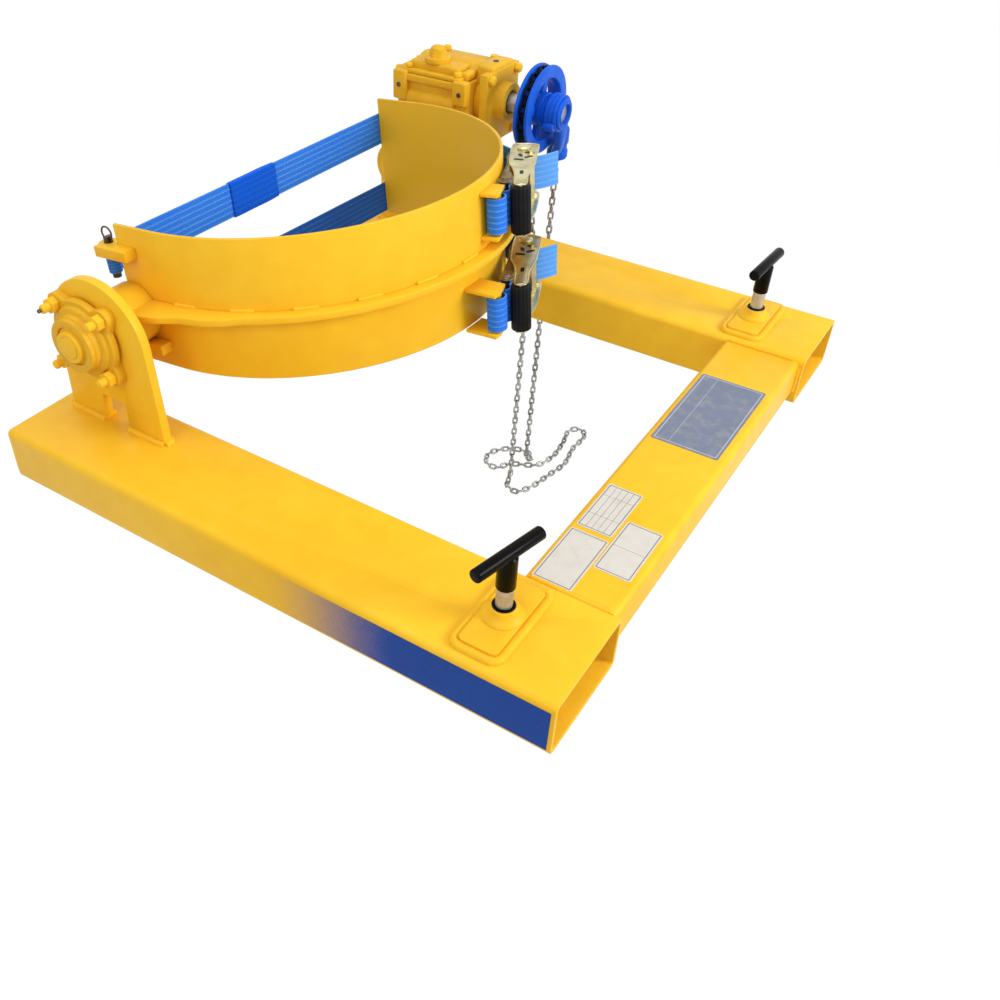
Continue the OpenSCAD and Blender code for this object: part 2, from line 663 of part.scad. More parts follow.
// Handle: two long plates joined by the cross bar under the grip
handle_plate_z = frame_half + 6.5;
module ratchet_handle() color(steel) on_handle() {
    for (s = [-1, 1]) translate([0, 0, s > 0 ? handle_plate_z : -handle_plate_z - plate_t])
        linear_extrude(plate_t) difference() {
            polygon([[-14, -16], [-20, 0], [-14, 18], [-4, 22], [91, 16], [handle_reach, 10.5],
                [handle_reach + 8, 0], [handle_reach, -10.5], [66, -20]]);
            circle(9 + run);
            rotate([0, 0, 26]) translate([19, -4]) square([16, 8]);
        }
    translate([handle_reach - 4, 0, -handle_plate_z]) cylinder(d = 10, h = 2 * handle_plate_z);
}
module upper_ratchet_handle() at_ratchet(upper_ratchet, upper_strap_z) ratchet_handle();
module lower_ratchet_handle() at_ratchet(lower_ratchet, -lower_strap_z - strap_drop) ratchet_handle();

module ratchet_grip() color(black) on_handle() translate([handle_reach - 4, 0, -handle_plate_z + seat])
    difference() {
        cylinder(d = 27, h = 2 * (handle_plate_z - seat));
        translate([0, 0, -cut]) cylinder(d = 10 + 2 * run, h = 2 * handle_plate_z + 2 * cut);
    }
module upper_ratchet_grip() at_ratchet(upper_ratchet, upper_strap_z) ratchet_grip();
module lower_ratchet_grip() at_ratchet(lower_ratchet, -lower_strap_z - strap_drop) ratchet_grip();

// Driving pawl: a flat bar through the handle's slots, resting on the toothed wheels
module ratchet_pawl() color(steel) on_handle() rotate([0, 0, 26])
    translate([19.4, -3.7, -handle_plate_z - plate_t - 3]) cube([9, 7.4, 2 * (handle_plate_z + plate_t + 3)]);
module upper_ratchet_pawl() at_ratchet(upper_ratchet, upper_strap_z) ratchet_pawl();
module lower_ratchet_pawl() at_ratchet(lower_ratchet, -lower_strap_z - strap_drop) ratchet_pawl();

// Where a ratchet's fixed bolt and the bar beside it stand, in the cradle's plan
function ratchet_plan(r, p) = let (t = r[0] - r[1])
    [ratchet_r * cos(r[0]) + p[0] * cos(t) - p[1] * sin(t),
    ratchet_r * sin(r[0]) - drum_setback + p[0] * sin(t) + p[1] * cos(t)];
bolt_at = [ratchet_len, 0];
bar_at = [ratchet_len + 47, -0.5];
loop_bar_d = 12;
loop_bolt_d = 10;

// Welded mount: two lips from the shell and a round bar between them
module ratchet_mount(r, zc) color(yellow) in_cradle() {
    bar = ratchet_plan(r, bar_at);
    angle = atan2(bar[1] + drum_setback, bar[0]);
    translate([0, -drum_setback, 0]) rotate([0, 0, angle]) for (z = [zc - 33, zc + 28])
        difference() {
            translate([shell_in, -20, z]) cube([norm([bar[0], bar[1] + drum_setback]) - shell_in + 9, 40, 5]);
            translate([0, 0, z - cut]) cylinder(r = shell_r + seat, h = 8, $fn = 128);
        }
    translate([bar[0], bar[1], zc - 32]) cylinder(d = loop_bar_d, h = 64);
}
module ratchet_mounts() {
    ratchet_mount(upper_ratchet, upper_strap_z);
    ratchet_mount(lower_ratchet, -lower_strap_z - strap_drop);
}

// Short sewn loop of webbing round the bar and the ratchet's fixed bolt
module loop_band(reach, r0, r1) {
    circle(r0);
    translate([reach, 0]) circle(r1);
    polygon([[0, -r0], [reach, -r1], [reach, r1], [0, r0]]);
}
module anchor_loop() color(webbing) {
    d = bar_at - bolt_at;
    r0 = loop_bolt_d / 2 + seat;
    r1 = loop_bar_d / 2 + seat;
    translate([bolt_at[0], bolt_at[1], -web_w / 2]) rotate([0, 0, atan2(d[1], d[0])]) difference() {
        linear_extrude(web_w) loop_band(norm(d), r0 + web_t, r1 + web_t);
        translate([0, 0, -cut]) linear_extrude(web_w + 2 * cut) loop_band(norm(d), r0, r1);
    }
}
module upper_anchor_loop() at_ratchet(upper_ratchet, upper_strap_z) anchor_loop();
module lower_anchor_loop() at_ratchet(lower_ratchet, -lower_strap_z - strap_drop) anchor_loop();

// Strap: an eye on the pin, a straight run over the cradle's mouth, round the far edge and to the spool
far_y = shell_reach + seat + web_t / 2;
front_len = norm([2 * shell_r + seat, far_y - strap_pin_y]);
front_turn = atan2(far_y - strap_pin_y, 2 * shell_r + seat);
eye_r = strap_pin_d / 2 + seat;
module strap_plan(a) {
    leave = a + acos((shell_r + seat) / ratchet_r);
    run_len = sqrt(pow(ratchet_r, 2) - pow(shell_r + seat, 2));
    difference() {
        union() {
            translate([pin_x, strap_pin_y]) circle(eye_r + web_t);
            translate([pin_x, strap_pin_y]) rotate([0, 0, front_turn])
                translate([eye_r + 1, -web_t / 2]) square([front_len - eye_r - 0.8, web_t]);
        }
        translate([pin_x, strap_pin_y]) circle(eye_r);
    }
    translate([shell_r + seat, shell_reach + seat]) intersection() {
        circle(web_t + 0.05);
        square([10, 10]);
    }
    translate([shell_r + seat, -drum_setback - 1]) square([web_t, drum_setback + shell_reach + seat + 1.2]);
    translate([0, -drum_setback]) {
        difference() {
            intersection() {
                circle(shell_r + seat + web_t, $fn = 128);
                polygon([[0, 0], [400, 0], [400 * cos(leave / 2), 400 * sin(leave / 2)],
                    [400 * cos(leave), 400 * sin(leave)]]);
            }
            circle(shell_r + seat, $fn = 128);
        }
        rotate([0, 0, leave]) translate([shell_r + seat, 10 - run_len]) square([web_t, run_len - 9]);
    }
}
module strap(a, z_near, z_far, eye) color(webbing) in_cradle() intersection() {
    translate([0, 0, -200]) linear_extrude(400) strap_plan(a);
    union() {
        translate([0, shell_reach, 0]) rotate([90, 0, 180]) linear_extrude(100) mirror([1, 0]) polygon([
            [pin_x - 20, eye[0]], [pin_x + 16, eye[0]], [pin_x + 70, z_near - web_w / 2],
            [shell_r, z_far - web_w / 2], [shell_r + 20, z_far - web_w / 2], [shell_r + 20, z_far + web_w / 2],
            [shell_r, z_far + web_w / 2], [pin_x + 70, z_near + web_w / 2], [pin_x + 16, eye[1] - seat],
            [pin_x - 20, eye[1] - seat]]);
        translate([0, -500, z_far - web_w / 2]) cube([400, 500 + shell_reach + 1, web_w]);
    }
}
module upper_strap() strap(upper_ratchet[0], upper_strap_z + 1, upper_strap_z, upper_eye_z);
module lower_strap() strap(lower_ratchet[0], -lower_strap_z, -lower_strap_z - strap_drop, lower_eye_z);

// Stitched sleeve on the upper strap
module strap_keeper() color(blue) in_cradle() translate([pin_x, strap_pin_y, upper_strap_z])
    rotate([0, 0, front_turn]) translate([230, 0, 0]) difference() {
        translate([0, -web_t / 2 - seat - 3, -web_w / 2 - 4]) cube([98, web_t + 2 * seat + 6, web_w + 8]);
        translate([-cut, -web_t / 2 - seat, -web_w / 2 - cut - seat])
            cube([100, web_t + 2 * seat, web_w + 2 * cut + 2 * seat]);
    }

// Strap pin with a flattened, cross-drilled end for its ring
module strap_pin(z0, z1, up) color(black) in_cradle() translate([pin_x, strap_pin_y, 0]) difference() {
    translate([0, 0, z0]) cylinder(d = strap_pin_d, h = z1 - z0);
    for (s = [-1, 1]) translate([-20, s > 0 ? 3.5 : -23.5, up ? z1 - pin_flat_h : z0 - 1])
        cube([40, 20, pin_flat_h + 1]);
    translate([0, 0, up ? z1 - pin_hole : z0 + pin_hole]) rod_y(-20, 20, ring_wire / 2 + 0.85);
}
upper_pin_z = [upper_eye_z[0] - pin_under, upper_eye_z[1] + lug_t + pin_over];
lower_pin_z = [lower_eye_z[0] - pin_grip, lower_eye_z[1] + lug_t - 2];
module upper_strap_pin() strap_pin(upper_pin_z[0], upper_pin_z[1], true);
module lower_strap_pin() strap_pin(lower_pin_z[0], lower_pin_z[1], false);

// Ring through the pin's cross hole
module pin_ring(z, up) color(black) in_cradle() translate([pin_x, strap_pin_y, z + up * ring_mean_r])
    rotate([0, 90, 0]) rotate_extrude() translate([ring_mean_r, 0]) circle(ring_wire / 2, $fn = 24);
module upper_pin_ring() pin_ring(upper_pin_z[1] - pin_hole, 1);
module lower_pin_ring() pin_ring(lower_pin_z[0] + pin_hole, -1);

// Route of the hand chain: floor pile, near strand, over the wheel, far strand, back to the pile
lie_z = floor_z + chain_d / 2;
wrap_r = chain_wheel_r - 5;
pile = [[578, 560, lie_z], [600, 580, lie_z], [590, 620, lie_z], [550, 650, lie_z], [515, 640, lie_z],
    [510, 610, lie_z], [540, 590, lie_z], [570, 540, lie_z], [620, 525, lie_z], [680, 530, lie_z],
    [730, 540, lie_z], [750, 520, lie_z], [730, 500, lie_z], [670, 500, lie_z], [610, 490, lie_z],
    [550, 500, lie_z], [500, 510, lie_z], [460, 530, lie_z], [470, 560, lie_z]];
chain_route = concat(
    [[496, 567, lie_z + 14], [496, 567, lie_z + 50], [496, 567, -300], [496, 567, -60], [496, 567, -10],
        [493, 567, 48], [465, 570, 140], [433, 573, 235]],
    [for (a = [180 : -20 : 0]) [worm_x + wrap_r * cos(a), chain_wheel_y, worm_z + wrap_r * sin(a)]],
    [[568, 570, 215], [568, 567, 150], [568, 567, -10], [568, 567, -300], [568, 567, lie_z + 50],
        [568, 567, lie_z + 14]],
    pile);

// A smooth curve through the route's points, about one step long
function blend(p0, p1, p2, p3, t) = 0.5 * (2 * p1 + (p2 - p0) * t + (2 * p0 - 5 * p1 + 4 * p2 - p3) * t * t
    + (3 * p1 - p0 - 3 * p2 + p3) * t * t * t);
chain_step = 42;
last = len(chain_route) - 1;
function route_at(i) = chain_route[max(0, min(last, i))];
chain_path = [for (i = [0 : last - 1]) let (n = max(1, round(norm(route_at(i + 1) - route_at(i)) / chain_step)))
    for (k = [0 : n - 1]) blend(route_at(i - 1), route_at(i), route_at(i + 1), route_at(i + 2), k / n),
    route_at(last)];
chain_sides = 8;
function unit(v) = v / norm(v);
function heading(i) = unit(chain_path[min(len(chain_path) - 1, i + 1)] - chain_path[max(0, i - 1)]);
function side_of(t) = unit(cross(t, abs(t[1]) < 0.8 ? [0, 1, 0] : [1, 0, 0]));
function carried(i) = i == 0 ? side_of(heading(0)) :
    let (s = carried(i - 1), t = heading(i)) unit(s - t * (s * t));
module hand_chain() color(steel) {
    points = [for (i = [0 : len(chain_path) - 1]) let (t = heading(i), s = carried(i), u = cross(t, s))
        for (k = [0 : chain_sides - 1]) chain_path[i] + chain_d / 2 * (s * cos(k * 45) + u * sin(k * 45))];
    polyhedron(points, skin(len(chain_path), chain_sides), convexity = 20);
}

left_arm_tube();
right_arm_tube();
arm_end_caps();
cross_member();
weld_beads();
clamp_pads();
clamp_nuts();
left_clamp_screw();
right_clamp_screw();
left_clamp_handle();
right_clamp_handle();
left_clamp_foot();
right_clamp_foot();
left_bearing_bracket();
right_bearing_bracket();
bearing_housings();
bearing_bolts();
gearbox_pedestal();
gearbox_housing();
gearbox_lid();
worm_input_flange();
worm_end_flange();
gearbox_filler_cap();
gearbox_bolts();
gearbox_bearings();
chain_guide();
worm_shaft();
chain_wheel();
hand_chain();
blank_labels();
side_stripe();
drum_shell();
stiffening_ring();
trunnion_bosses();
left_trunnion_shaft();
right_trunnion_shaft();
worm_wheel();
bearing_inner_rings();
strap_lugs();
ratchet_mounts();
upper_ratchet_frame();
lower_ratchet_frame();
upper_anchor_loop();
lower_anchor_loop();
upper_strap();
lower_strap();
strap_keeper();
upper_strap_pin();
lower_strap_pin();
upper_pin_ring();
lower_pin_ring();
upper_ratchet_handle();
lower_ratchet_handle();
upper_ratchet_grip();
lower_ratchet_grip();
upper_ratchet_spool();
lower_ratchet_spool();
upper_ratchet_pawl();
lower_ratchet_pawl();
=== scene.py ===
# %% [markdown]
# # A drum tipper for fork tines
#
# This lesson dresses a drum tipper in Blender. Two box-section arms slip over a
# truck's tines, a cross member joins them, and a half-round cradle swings between
# two bearing brackets. A worm gearbox turns the cradle when someone pulls the
# hand chain, and two ratchet straps hold the drum in the cradle.
#
# Everything below is what that model leaves plain: chain links, webbing, pressed
# ratchets, castings with soft edges, weld beads, paint and labels.

# %% Load the frame
import math
from contextlib import contextmanager

import bmesh
import bpy
from mathutils import Matrix, Vector
from mathutils.noise import noise


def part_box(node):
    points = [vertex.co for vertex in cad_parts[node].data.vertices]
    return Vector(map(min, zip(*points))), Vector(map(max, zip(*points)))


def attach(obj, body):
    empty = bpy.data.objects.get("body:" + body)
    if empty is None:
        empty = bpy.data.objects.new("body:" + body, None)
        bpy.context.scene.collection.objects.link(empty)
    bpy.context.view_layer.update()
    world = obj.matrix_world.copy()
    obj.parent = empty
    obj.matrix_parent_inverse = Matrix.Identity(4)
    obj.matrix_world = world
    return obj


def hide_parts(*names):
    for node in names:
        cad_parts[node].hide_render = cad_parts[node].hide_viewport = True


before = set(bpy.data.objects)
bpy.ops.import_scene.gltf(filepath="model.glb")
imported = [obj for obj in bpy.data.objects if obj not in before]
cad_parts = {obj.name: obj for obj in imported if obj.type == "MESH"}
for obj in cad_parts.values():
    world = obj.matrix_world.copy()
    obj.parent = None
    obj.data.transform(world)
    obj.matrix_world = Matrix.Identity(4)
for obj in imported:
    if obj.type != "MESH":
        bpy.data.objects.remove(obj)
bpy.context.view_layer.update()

MM = 0.001

# %% [markdown]
# ## The camera
#
# A photograph fixes seven numbers: where the camera stands, where it looks, how it
# is rolled and how long its lens is. They were found by matching edges whose real
# places are known, such as the arms' corners and the pocket mouths. The picture
# was cropped off-centre, so the sensor is shifted a little sideways.

# %% Stand the camera where the photographer stood
AZIMUTH, ELEVATION, ROLL = math.radians(-56.116), math.radians(39.690), math.radians(0.471)
back = Vector((math.sin(AZIMUTH) * math.cos(ELEVATION), -math.cos(AZIMUTH) * math.cos(ELEVATION),
               math.sin(ELEVATION)))
level = (-back).cross(Vector((0, 0, 1))).normalized()
upward = level.cross(-back)
right = math.cos(ROLL) * level + math.sin(ROLL) * upward
up = math.cos(ROLL) * upward - math.sin(ROLL) * level

camera = bpy.data.objects.new("camera", bpy.data.cameras.new("camera"))
camera.data.lens, camera.data.sensor_width = 36.75, 36
camera.data.shift_x = 0.0931
turn = Matrix((right, up, back)).transposed().to_4x4()
camera.matrix_world = Matrix.Translation((-1.1233, -0.2425, 0.8689)) @ turn
bpy.context.scene.collection.objects.link(camera)
bpy.context.scene.camera = camera
print("camera looks along", [round(v, 3) for v in -back])

# %% [markdown]
# ## Reading sizes off the frame
#
# The cradle is stored at a small tilt about its pivot. Its pieces are easiest to
# think of in the cradle's own upright frame, so one matrix takes points from there
# to the model's frame. Each ratchet has its own little frame on the cradle's back,
# with x along the ratchet, y away from the shell and z along the spool.

# %% Frames of the cradle and its ratchets
REST_TILT = math.radians(-5.9)
PIVOT = Vector((0, 0.755, 0.175))
SHELL_R, SETBACK, SPOOL_R = 0.300, 0.057, 0.332
HUB = Vector((0, -SETBACK, 0))
X_AXIS, Y_AXIS, Z_AXIS = Vector((1, 0, 0)), Vector((0, 1, 0)), Vector((0, 0, 1))
cradle = Matrix.Translation(PIVOT) @ Matrix.Rotation(REST_TILT, 4, "X")


def compass(angle):
    """The unit vector at an angle in radians in the x-y plane."""
    return Vector((math.cos(angle), math.sin(angle), 0))


def ratchet_frame(angle, lead, height):
    """The frame of a ratchet at that angle round the shell, turned by its lead from the radius."""
    spool = HUB + SPOOL_R * compass(angle) + height * Z_AXIS
    return cradle @ Matrix.Translation(spool) @ Matrix.Rotation(angle - lead, 4, "Z")


SIDES = ("upper", "lower")
SPOOL_ANGLE = {"upper": math.radians(-54), "lower": math.radians(-64)}
LEAD = {"upper": math.radians(109.8), "lower": math.radians(101)}
STRAP_Z = {"upper": 0.070, "lower": -0.048}
ratchets = {side: ratchet_frame(SPOOL_ANGLE[side], LEAD[side], STRAP_Z[side]) for side in SIDES}
for side, place in ratchets.items():
    low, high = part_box(f"{side}_ratchet_spool")
    print(side, "spool is off its node by", round((place.translation - (low + high) / 2).length / MM, 2), "mm")

# %% [markdown]
# ## Small helpers for making pieces
#
# A mesh is a list of points and a list of faces. `piece` turns them into an object,
# and `fit` says which body it moves with, which material paints it and
# which construction nodes it stands for. Most forms here are a skin over a row of
# rings, so `skin` makes the faces of them all.

# %% Helpers for pieces


def stand(name, data):
    """A new object in the scene that shows the data."""
    obj = bpy.data.objects.new(name, data)
    bpy.context.scene.collection.objects.link(obj)
    return obj


@contextmanager
def opened(mesh):
    """The mesh as a bmesh, written back when the block ends."""
    work = bmesh.new()
    work.from_mesh(mesh)
    yield work
    work.to_mesh(mesh)
    work.free()


def shade(obj, sharp=40):
    """Smooth shading with sharp edges past an angle in degrees."""
    obj.data.polygons.foreach_set("use_smooth", [True] * len(obj.data.polygons))
    obj.data.set_sharp_from_angle(angle=math.radians(sharp))
    return obj


def piece(name, points, faces, sharp=40):
    """A mesh object from points in metres."""
    mesh = bpy.data.meshes.new(name)
    mesh.from_pydata([tuple(p) for p in points], [], faces)
    mesh.update()
    return shade(stand(name, mesh), sharp)


def outward(obj, merge=2e-6):
    """Merges points closer than a distance in metres and turns every face outwards."""
    with opened(obj.data) as work:
        if merge:
            bmesh.ops.remove_doubles(work, verts=work.verts, dist=merge)
        bmesh.ops.recalc_face_normals(work, faces=work.faces)
    obj.data.update()
    return obj


def baked(obj):
    """Turns an object and its modifiers into a plain mesh at the origin."""
    bpy.context.view_layer.update()
    evaluated = obj.evaluated_get(bpy.context.evaluated_depsgraph_get())
    mesh = bpy.data.meshes.new_from_object(evaluated)
    mesh.transform(obj.matrix_world)
    name = obj.name
    bpy.data.objects.remove(obj)
    return stand(name, mesh)


def bevelled(obj, width, segments=2):
    """Rounds the sharp edges of a piece, as a file, a mould or thick paint does."""
    modifier = obj.modifiers.new("edges", "BEVEL")
    modifier.width, modifier.segments = width, segments
    modifier.limit_method, modifier.angle_limit = "ANGLE", math.radians(35)
    modifier.harden_normals = False
    return shade(baked(obj))


def joined(name, parts, sharp=None):
    """One object from several, shaded again if an angle is given."""
    mesh, work = bpy.data.meshes.new(name), bmesh.new()
    for part in parts:
        part.data.transform(part.matrix_world)
        work.from_mesh(part.data)
        bpy.data.objects.remove(part)
    work.to_mesh(mesh)
    work.free()
    obj = stand(name, mesh)
    return shade(obj, sharp) if sharp else obj


def fit(obj, body, slot, material, *nodes):
    """Rides a piece on its body, paints it and hides the nodes that it stands for."""
    if material is not None:
        obj.data.materials.clear()
        obj.data.materials.append(material)
    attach(obj, body)
    if nodes:
        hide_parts(*nodes)


def skin(rings, n, closed=True):
    """Quads between rings of n points, with a cap on each end unless the rings close up."""
    faces = [(i * n + j, i * n + (j + 1) % n, (i + 1) % rings * n + (j + 1) % n, (i + 1) % rings * n + j)
             for i in range(rings if closed else rings - 1) for j in range(n)]
    return faces if closed else faces + [tuple(range(n))[::-1], tuple((rings - 1) * n + j for j in range(n))]


def mapped(obj, uv_of):
    """Gives a piece its UV map from the (u, v) of each vertex."""
    layer = obj.data.uv_layers.new(name="UVMap")
    for loop in obj.data.loops:
        layer.data[loop.index].uv = uv_of[loop.vertex_index]
    return obj


# %% Turned, cut and boxed forms


def lathe(name, profile, axis, place, steps=48):
    """Spins (radius, along) pairs in millimetres about an axis through the place: a closed ring of a section."""
    upright = axis.to_track_quat("Z", "Y").to_matrix()
    points = [place + upright @ (MM * (radius * compass(2 * math.pi * k / steps) + along * Z_AXIS))
              for k in range(steps) for radius, along in profile]
    return shade(outward(piece(name, points, skin(steps, len(profile)))))


def dome(radius, length, edge, steps=4):
    """The (radius, along) outline of a rod with rounded ends, closed on its axis."""
    arcs = [math.radians(90 * k / steps) for k in range(steps + 1)]
    corner = [(radius - edge + edge * math.sin(a), length / 2 - edge + edge * math.cos(a)) for a in arcs]
    return [(0.01, length / 2)] + corner + [(r, -a) for r, a in reversed(corner)] + [(0.01, -length / 2)]


def prism(name, outline, low, high, place=Matrix(), sharp=40):
    """A flat outline in metres, raised from one height to another in a place's frame."""
    points = [place @ (p + z * Z_AXIS) for z in (low, high) for p in outline]
    return piece(name, points, skin(2, len(outline), closed=False), sharp)


def block(name, low, high, edge=3):
    """A box between two corners in millimetres, with rounded edges."""
    (x0, y0, z0), (x1, y1, z1) = MM * Vector(low), MM * Vector(high)
    outline = [Vector((x, y, 0)) for x, y in ((x0, y0), (x1, y0), (x1, y1), (x0, y1))]
    return bevelled(outward(prism(name, outline, z0, z1)), edge * MM, 3)


def rectangle_line(x, y, z, wide, high, corner, n=6):
    """A closed rounded rectangle round a centre at one height."""
    line = []
    for sx, sy, first in ((1, 1, 0), (-1, 1, 90), (-1, -1, 180), (1, -1, 270)):
        middle = Vector((x + sx * (wide / 2 - corner), y + sy * (high / 2 - corner), z))
        line += [middle + corner * compass(math.radians(first + 90 * k / n)) for k in range(n + 1)]
    return line + [line[0]]


def smooth_line(points, step, closed=False):
    """A smooth curve through the points, cut into pieces of about one step."""
    n, line = len(points), []
    for i in range(n if closed else n - 1):
        p0, p1, p2, p3 = (points[(i + k) % n if closed else max(0, min(n - 1, i + k))] for k in (-1, 0, 1, 2))
        cuts = max(1, round((p2 - p1).length / step))
        for t in (k / cuts for k in range(cuts)):
            line.append(0.5 * (2 * p1 + (p2 - p0) * t + (2 * p0 - 5 * p1 + 4 * p2 - p3) * t * t
                               + (3 * p1 - p0 - 3 * p2 + p3) * t * t * t))
    return line if closed else line + [points[-1]]


def length_of(line):
    """The length of a polyline."""
    return sum((b - a).length for a, b in zip(line, line[1:]))


def in_metres(points):
    """Flat (x, y) points in millimetres as vectors in metres."""
    return [MM * Vector((x, y, 0)) for x, y in points]


# %% [markdown]
# ## Node graphs in plain Python
#
# A shader is a graph, and so is a Geometry Nodes tree, but most of both is arithmetic.
# Wrapping a socket in a small class lets `1 - mask` or `rust * 0.5` add the right Math
# nodes, so that a finish reads like a formula. Colours go through Mix nodes, because
# Math turns them grey.

# %% A socket that can be calculated with, and a tree of nodes


def operator(operation, swapped=False):
    """A method of Value that adds one Math node."""
    def method(self, other):
        return self.maths(operation, *((other, self) if swapped else (self, other)))
    return method


class Value:
    """One output of a node, with the arithmetic that the graphs need."""

    def __init__(self, graph, socket):
        self.graph, self.socket = graph, socket

    def maths(self, operation, *values):
        return self.graph.node("ShaderNodeMath", {"operation": operation}, values)

    __add__, __radd__ = operator("ADD"), operator("ADD", swapped=True)
    __sub__, __rsub__ = operator("SUBTRACT"), operator("SUBTRACT", swapped=True)
    __mul__, __rmul__ = operator("MULTIPLY"), operator("MULTIPLY", swapped=True)
    __truediv__, __pow__, __mod__ = operator("DIVIDE"), operator("POWER"), operator("MODULO")
    __gt__, __lt__ = operator("GREATER_THAN"), operator("LESS_THAN")
    lowest, highest = operator("MINIMUM"), operator("MAXIMUM")

    def wave(self):
        """Sine of the value."""
        return self.maths("SINE", self)

    def fraction(self):
        """What is left of the value above its whole number."""
        return self.maths("FRACT", self)

    def size(self):
        """The value without its sign."""
        return self.maths("ABSOLUTE", self)

    def step(self, low, high):
        """0 below low, 1 above high, and a smooth rise between them."""
        return self.graph.node("ShaderNodeMapRange", {"interpolation_type": "SMOOTHSTEP"},
                               [self, low, high, 0.0, 1.0])


class Graph:
    """A node tree of any kind."""

    def __init__(self, tree):
        self.tree = tree

    def node(self, kind, settings=None, values=(), output=0):
        """Any node: its settings first, then the values or links of its sockets by order or by name."""
        made = self.tree.nodes.new(kind)
        for key, value in (settings or {}).items():
            setattr(made, key, value)
        for key, value in values.items() if isinstance(values, dict) else enumerate(values):
            if isinstance(value, Value):
                self.tree.links.new(value.socket, made.inputs[key])
            else:
                made.inputs[key].default_value = value
        return Value(self, made.outputs[output])


# %% A finish: one material and its nodes


def srgb(text):
    """A hex colour as Blender's linear numbers."""
    parts = [int(text[i:i + 2], 16) / 255 for i in (0, 2, 4)]
    return tuple(p / 12.92 if p < 0.04045 else ((p + 0.055) / 1.055) ** 2.4 for p in parts) + (1.0,)


class Finish(Graph):
    """A procedural material built on the Principled shader."""

    def __init__(self, name, **constants):
        self.material = bpy.data.materials.new(name)
        self.material.use_nodes = True
        super().__init__(self.material.node_tree)
        self.shader = self.tree.nodes["Principled BSDF"]
        for key, value in constants.items():
            self.shader.inputs[key.replace("_", " ")].default_value = value

    def where(self, source="Object"):
        """The point being painted: Object coordinates or the piece's own UV map."""
        return self.node("ShaderNodeTexCoord", output=source)

    def vector(self, *parts):
        return self.node("ShaderNodeCombineXYZ", {}, parts)

    def parts(self, vector):
        """The x, y and z of a vector."""
        split = self.node("ShaderNodeSeparateXYZ", {}, [vector])
        return [Value(self, s) for s in split.socket.node.outputs]

    def noise(self, scale, detail=3.0, roughness=0.5, at=None):
        return self.node("ShaderNodeTexNoise", {}, {"Vector": at or self.where(), "Scale": scale,
                                                    "Detail": detail, "Roughness": roughness})

    def mix(self, share, first, second):
        """A mix of two colours."""
        return self.node("ShaderNodeMix", {"data_type": "RGBA"}, {0: share, 6: first, 7: second}, 2)

    def bump(self, height, distance, strength):
        """Sends a height in metres per unit into the shader's normal."""
        self.paint(Normal=self.node("ShaderNodeBump", {}, {"Strength": strength, "Distance": distance,
                                                           "Height": height}))

    def paint(self, **links):
        """Links values to the shader's sockets by name."""
        for key, value in links.items():
            self.tree.links.new(value.socket, self.shader.inputs[key.replace("_", " ")])
        return self.material


# %% [markdown]
# ## Yellow gloss enamel
#
# The steelwork is sprayed with a thick yellow enamel. Real spray has three things more
# than a flat colour: a slow drift of shade where the coat is thicker, a fine orange-peel
# ripple that breaks up reflections, and a little shop dust that dulls the gloss. Each is
# one noise at its own scale. The blue band on the arm's side is the same coat with a mix
# on top, steered by the distance from the mouth, so that it runs out into yellow without
# an edge.

# %% Enamels
INSIDE_SHADE_DEPTH = 0.0022
BAND_ENDS = 0.20, 0.40


def enamel(name, colour, deeper, cast=0.0, gloss=0.32, inside_shade=None, band=None):
    """A sprayed paint. Cast is a casting's sandy skin, band a stripe's two blues; a shell's inside can be painted a
    darker yellow, as shade.
    """
    f = Finish(name, Coat_Roughness=0.12, Specular_IOR_Level=0.12)
    drift = f.noise(5.0, 3.0)
    cloud = f.noise(28.0, 4.0, 0.6)
    dust = f.noise(90.0, 6.0, 0.65)
    shade_of = (drift * 0.6 + cloud * 0.4).step(0.32, 0.68)
    colour_now = f.mix(shade_of, srgb(colour), srgb(deeper))
    # Painted shade: the shell's inner face, turned from the lamps, takes a darker yellow.
    if inside_shade:
        x, y, z = f.parts(f.where())
        across = (y - PIVOT.y) * math.cos(REST_TILT) + (z - PIVOT.z) * math.sin(REST_TILT)
        behind = (across + SETBACK).lowest(0.0)
        reach = (x * x + behind * behind) ** 0.5
        colour_now = f.mix(reach < SHELL_R - INSIDE_SHADE_DEPTH, colour_now, srgb(inside_shade))
    if band:
        _, y, _ = f.parts(f.where())
        overspray = f.noise(380.0, 3.0, 0.7)
        share = (y + (cloud - 0.5) * 0.03 + (overspray - 0.5) * 0.04).step(*BAND_ENDS)
        colour_now = f.mix(share, f.mix(cloud, srgb(band[0]), srgb(band[1])), colour_now)
    dusty = f.mix(dust.step(0.55, 0.9) * 0.06, colour_now, srgb("d9c68a"))
    if cast:
        f.bump(f.noise(700.0, 4.0, 0.7) * 0.5 + f.noise(120.0, 3.0) * 0.5, cast, 0.8)
    else:
        f.bump(f.noise(420.0, 2.0), 0.00012, 0.5)
    return f.paint(Base_Color=dusty, Roughness=gloss + 0.10 * cloud + 0.08 * dust,
                   Coat_Weight=0.015 + 0.02 * (1 - dust.step(0.4, 0.8)))


YELLOWS = "f7c42e", "f0b824"
yellow = enamel("yellow_enamel", *YELLOWS)
yellow_cast = enamel("yellow_enamel_on_casting", "edb92b", "dba620", cast=0.0011, gloss=0.34)
# The shell's enamel has painted shade on its inside.
yellow_shell = enamel("yellow_enamel_on_shell", *YELLOWS, inside_shade="dfae27")
stripe = enamel("sprayed_stripe", *YELLOWS, band=("04388c", "0c469c"))
blue_cast = enamel("blue_enamel_on_casting", "1560dc", "0b4cc0", cast=0.0009, gloss=0.30)
print("enamels made")

# %% [markdown]
# ## Metals and moulded black
#
# The ratchets are pressed from zinc-plated steel with a yellowish passivation. It
# clouds slowly and is scuffed along its length. Bare steel is greyer and finely
# turned, and the chain is dull steel wire, painted dark as shade where it lies in its wheel's groove.
# The black grips are moulded, with a faint pebble.

# %% Metals and plastics
WHEEL = Vector((0.497, 0.574, 0.261))


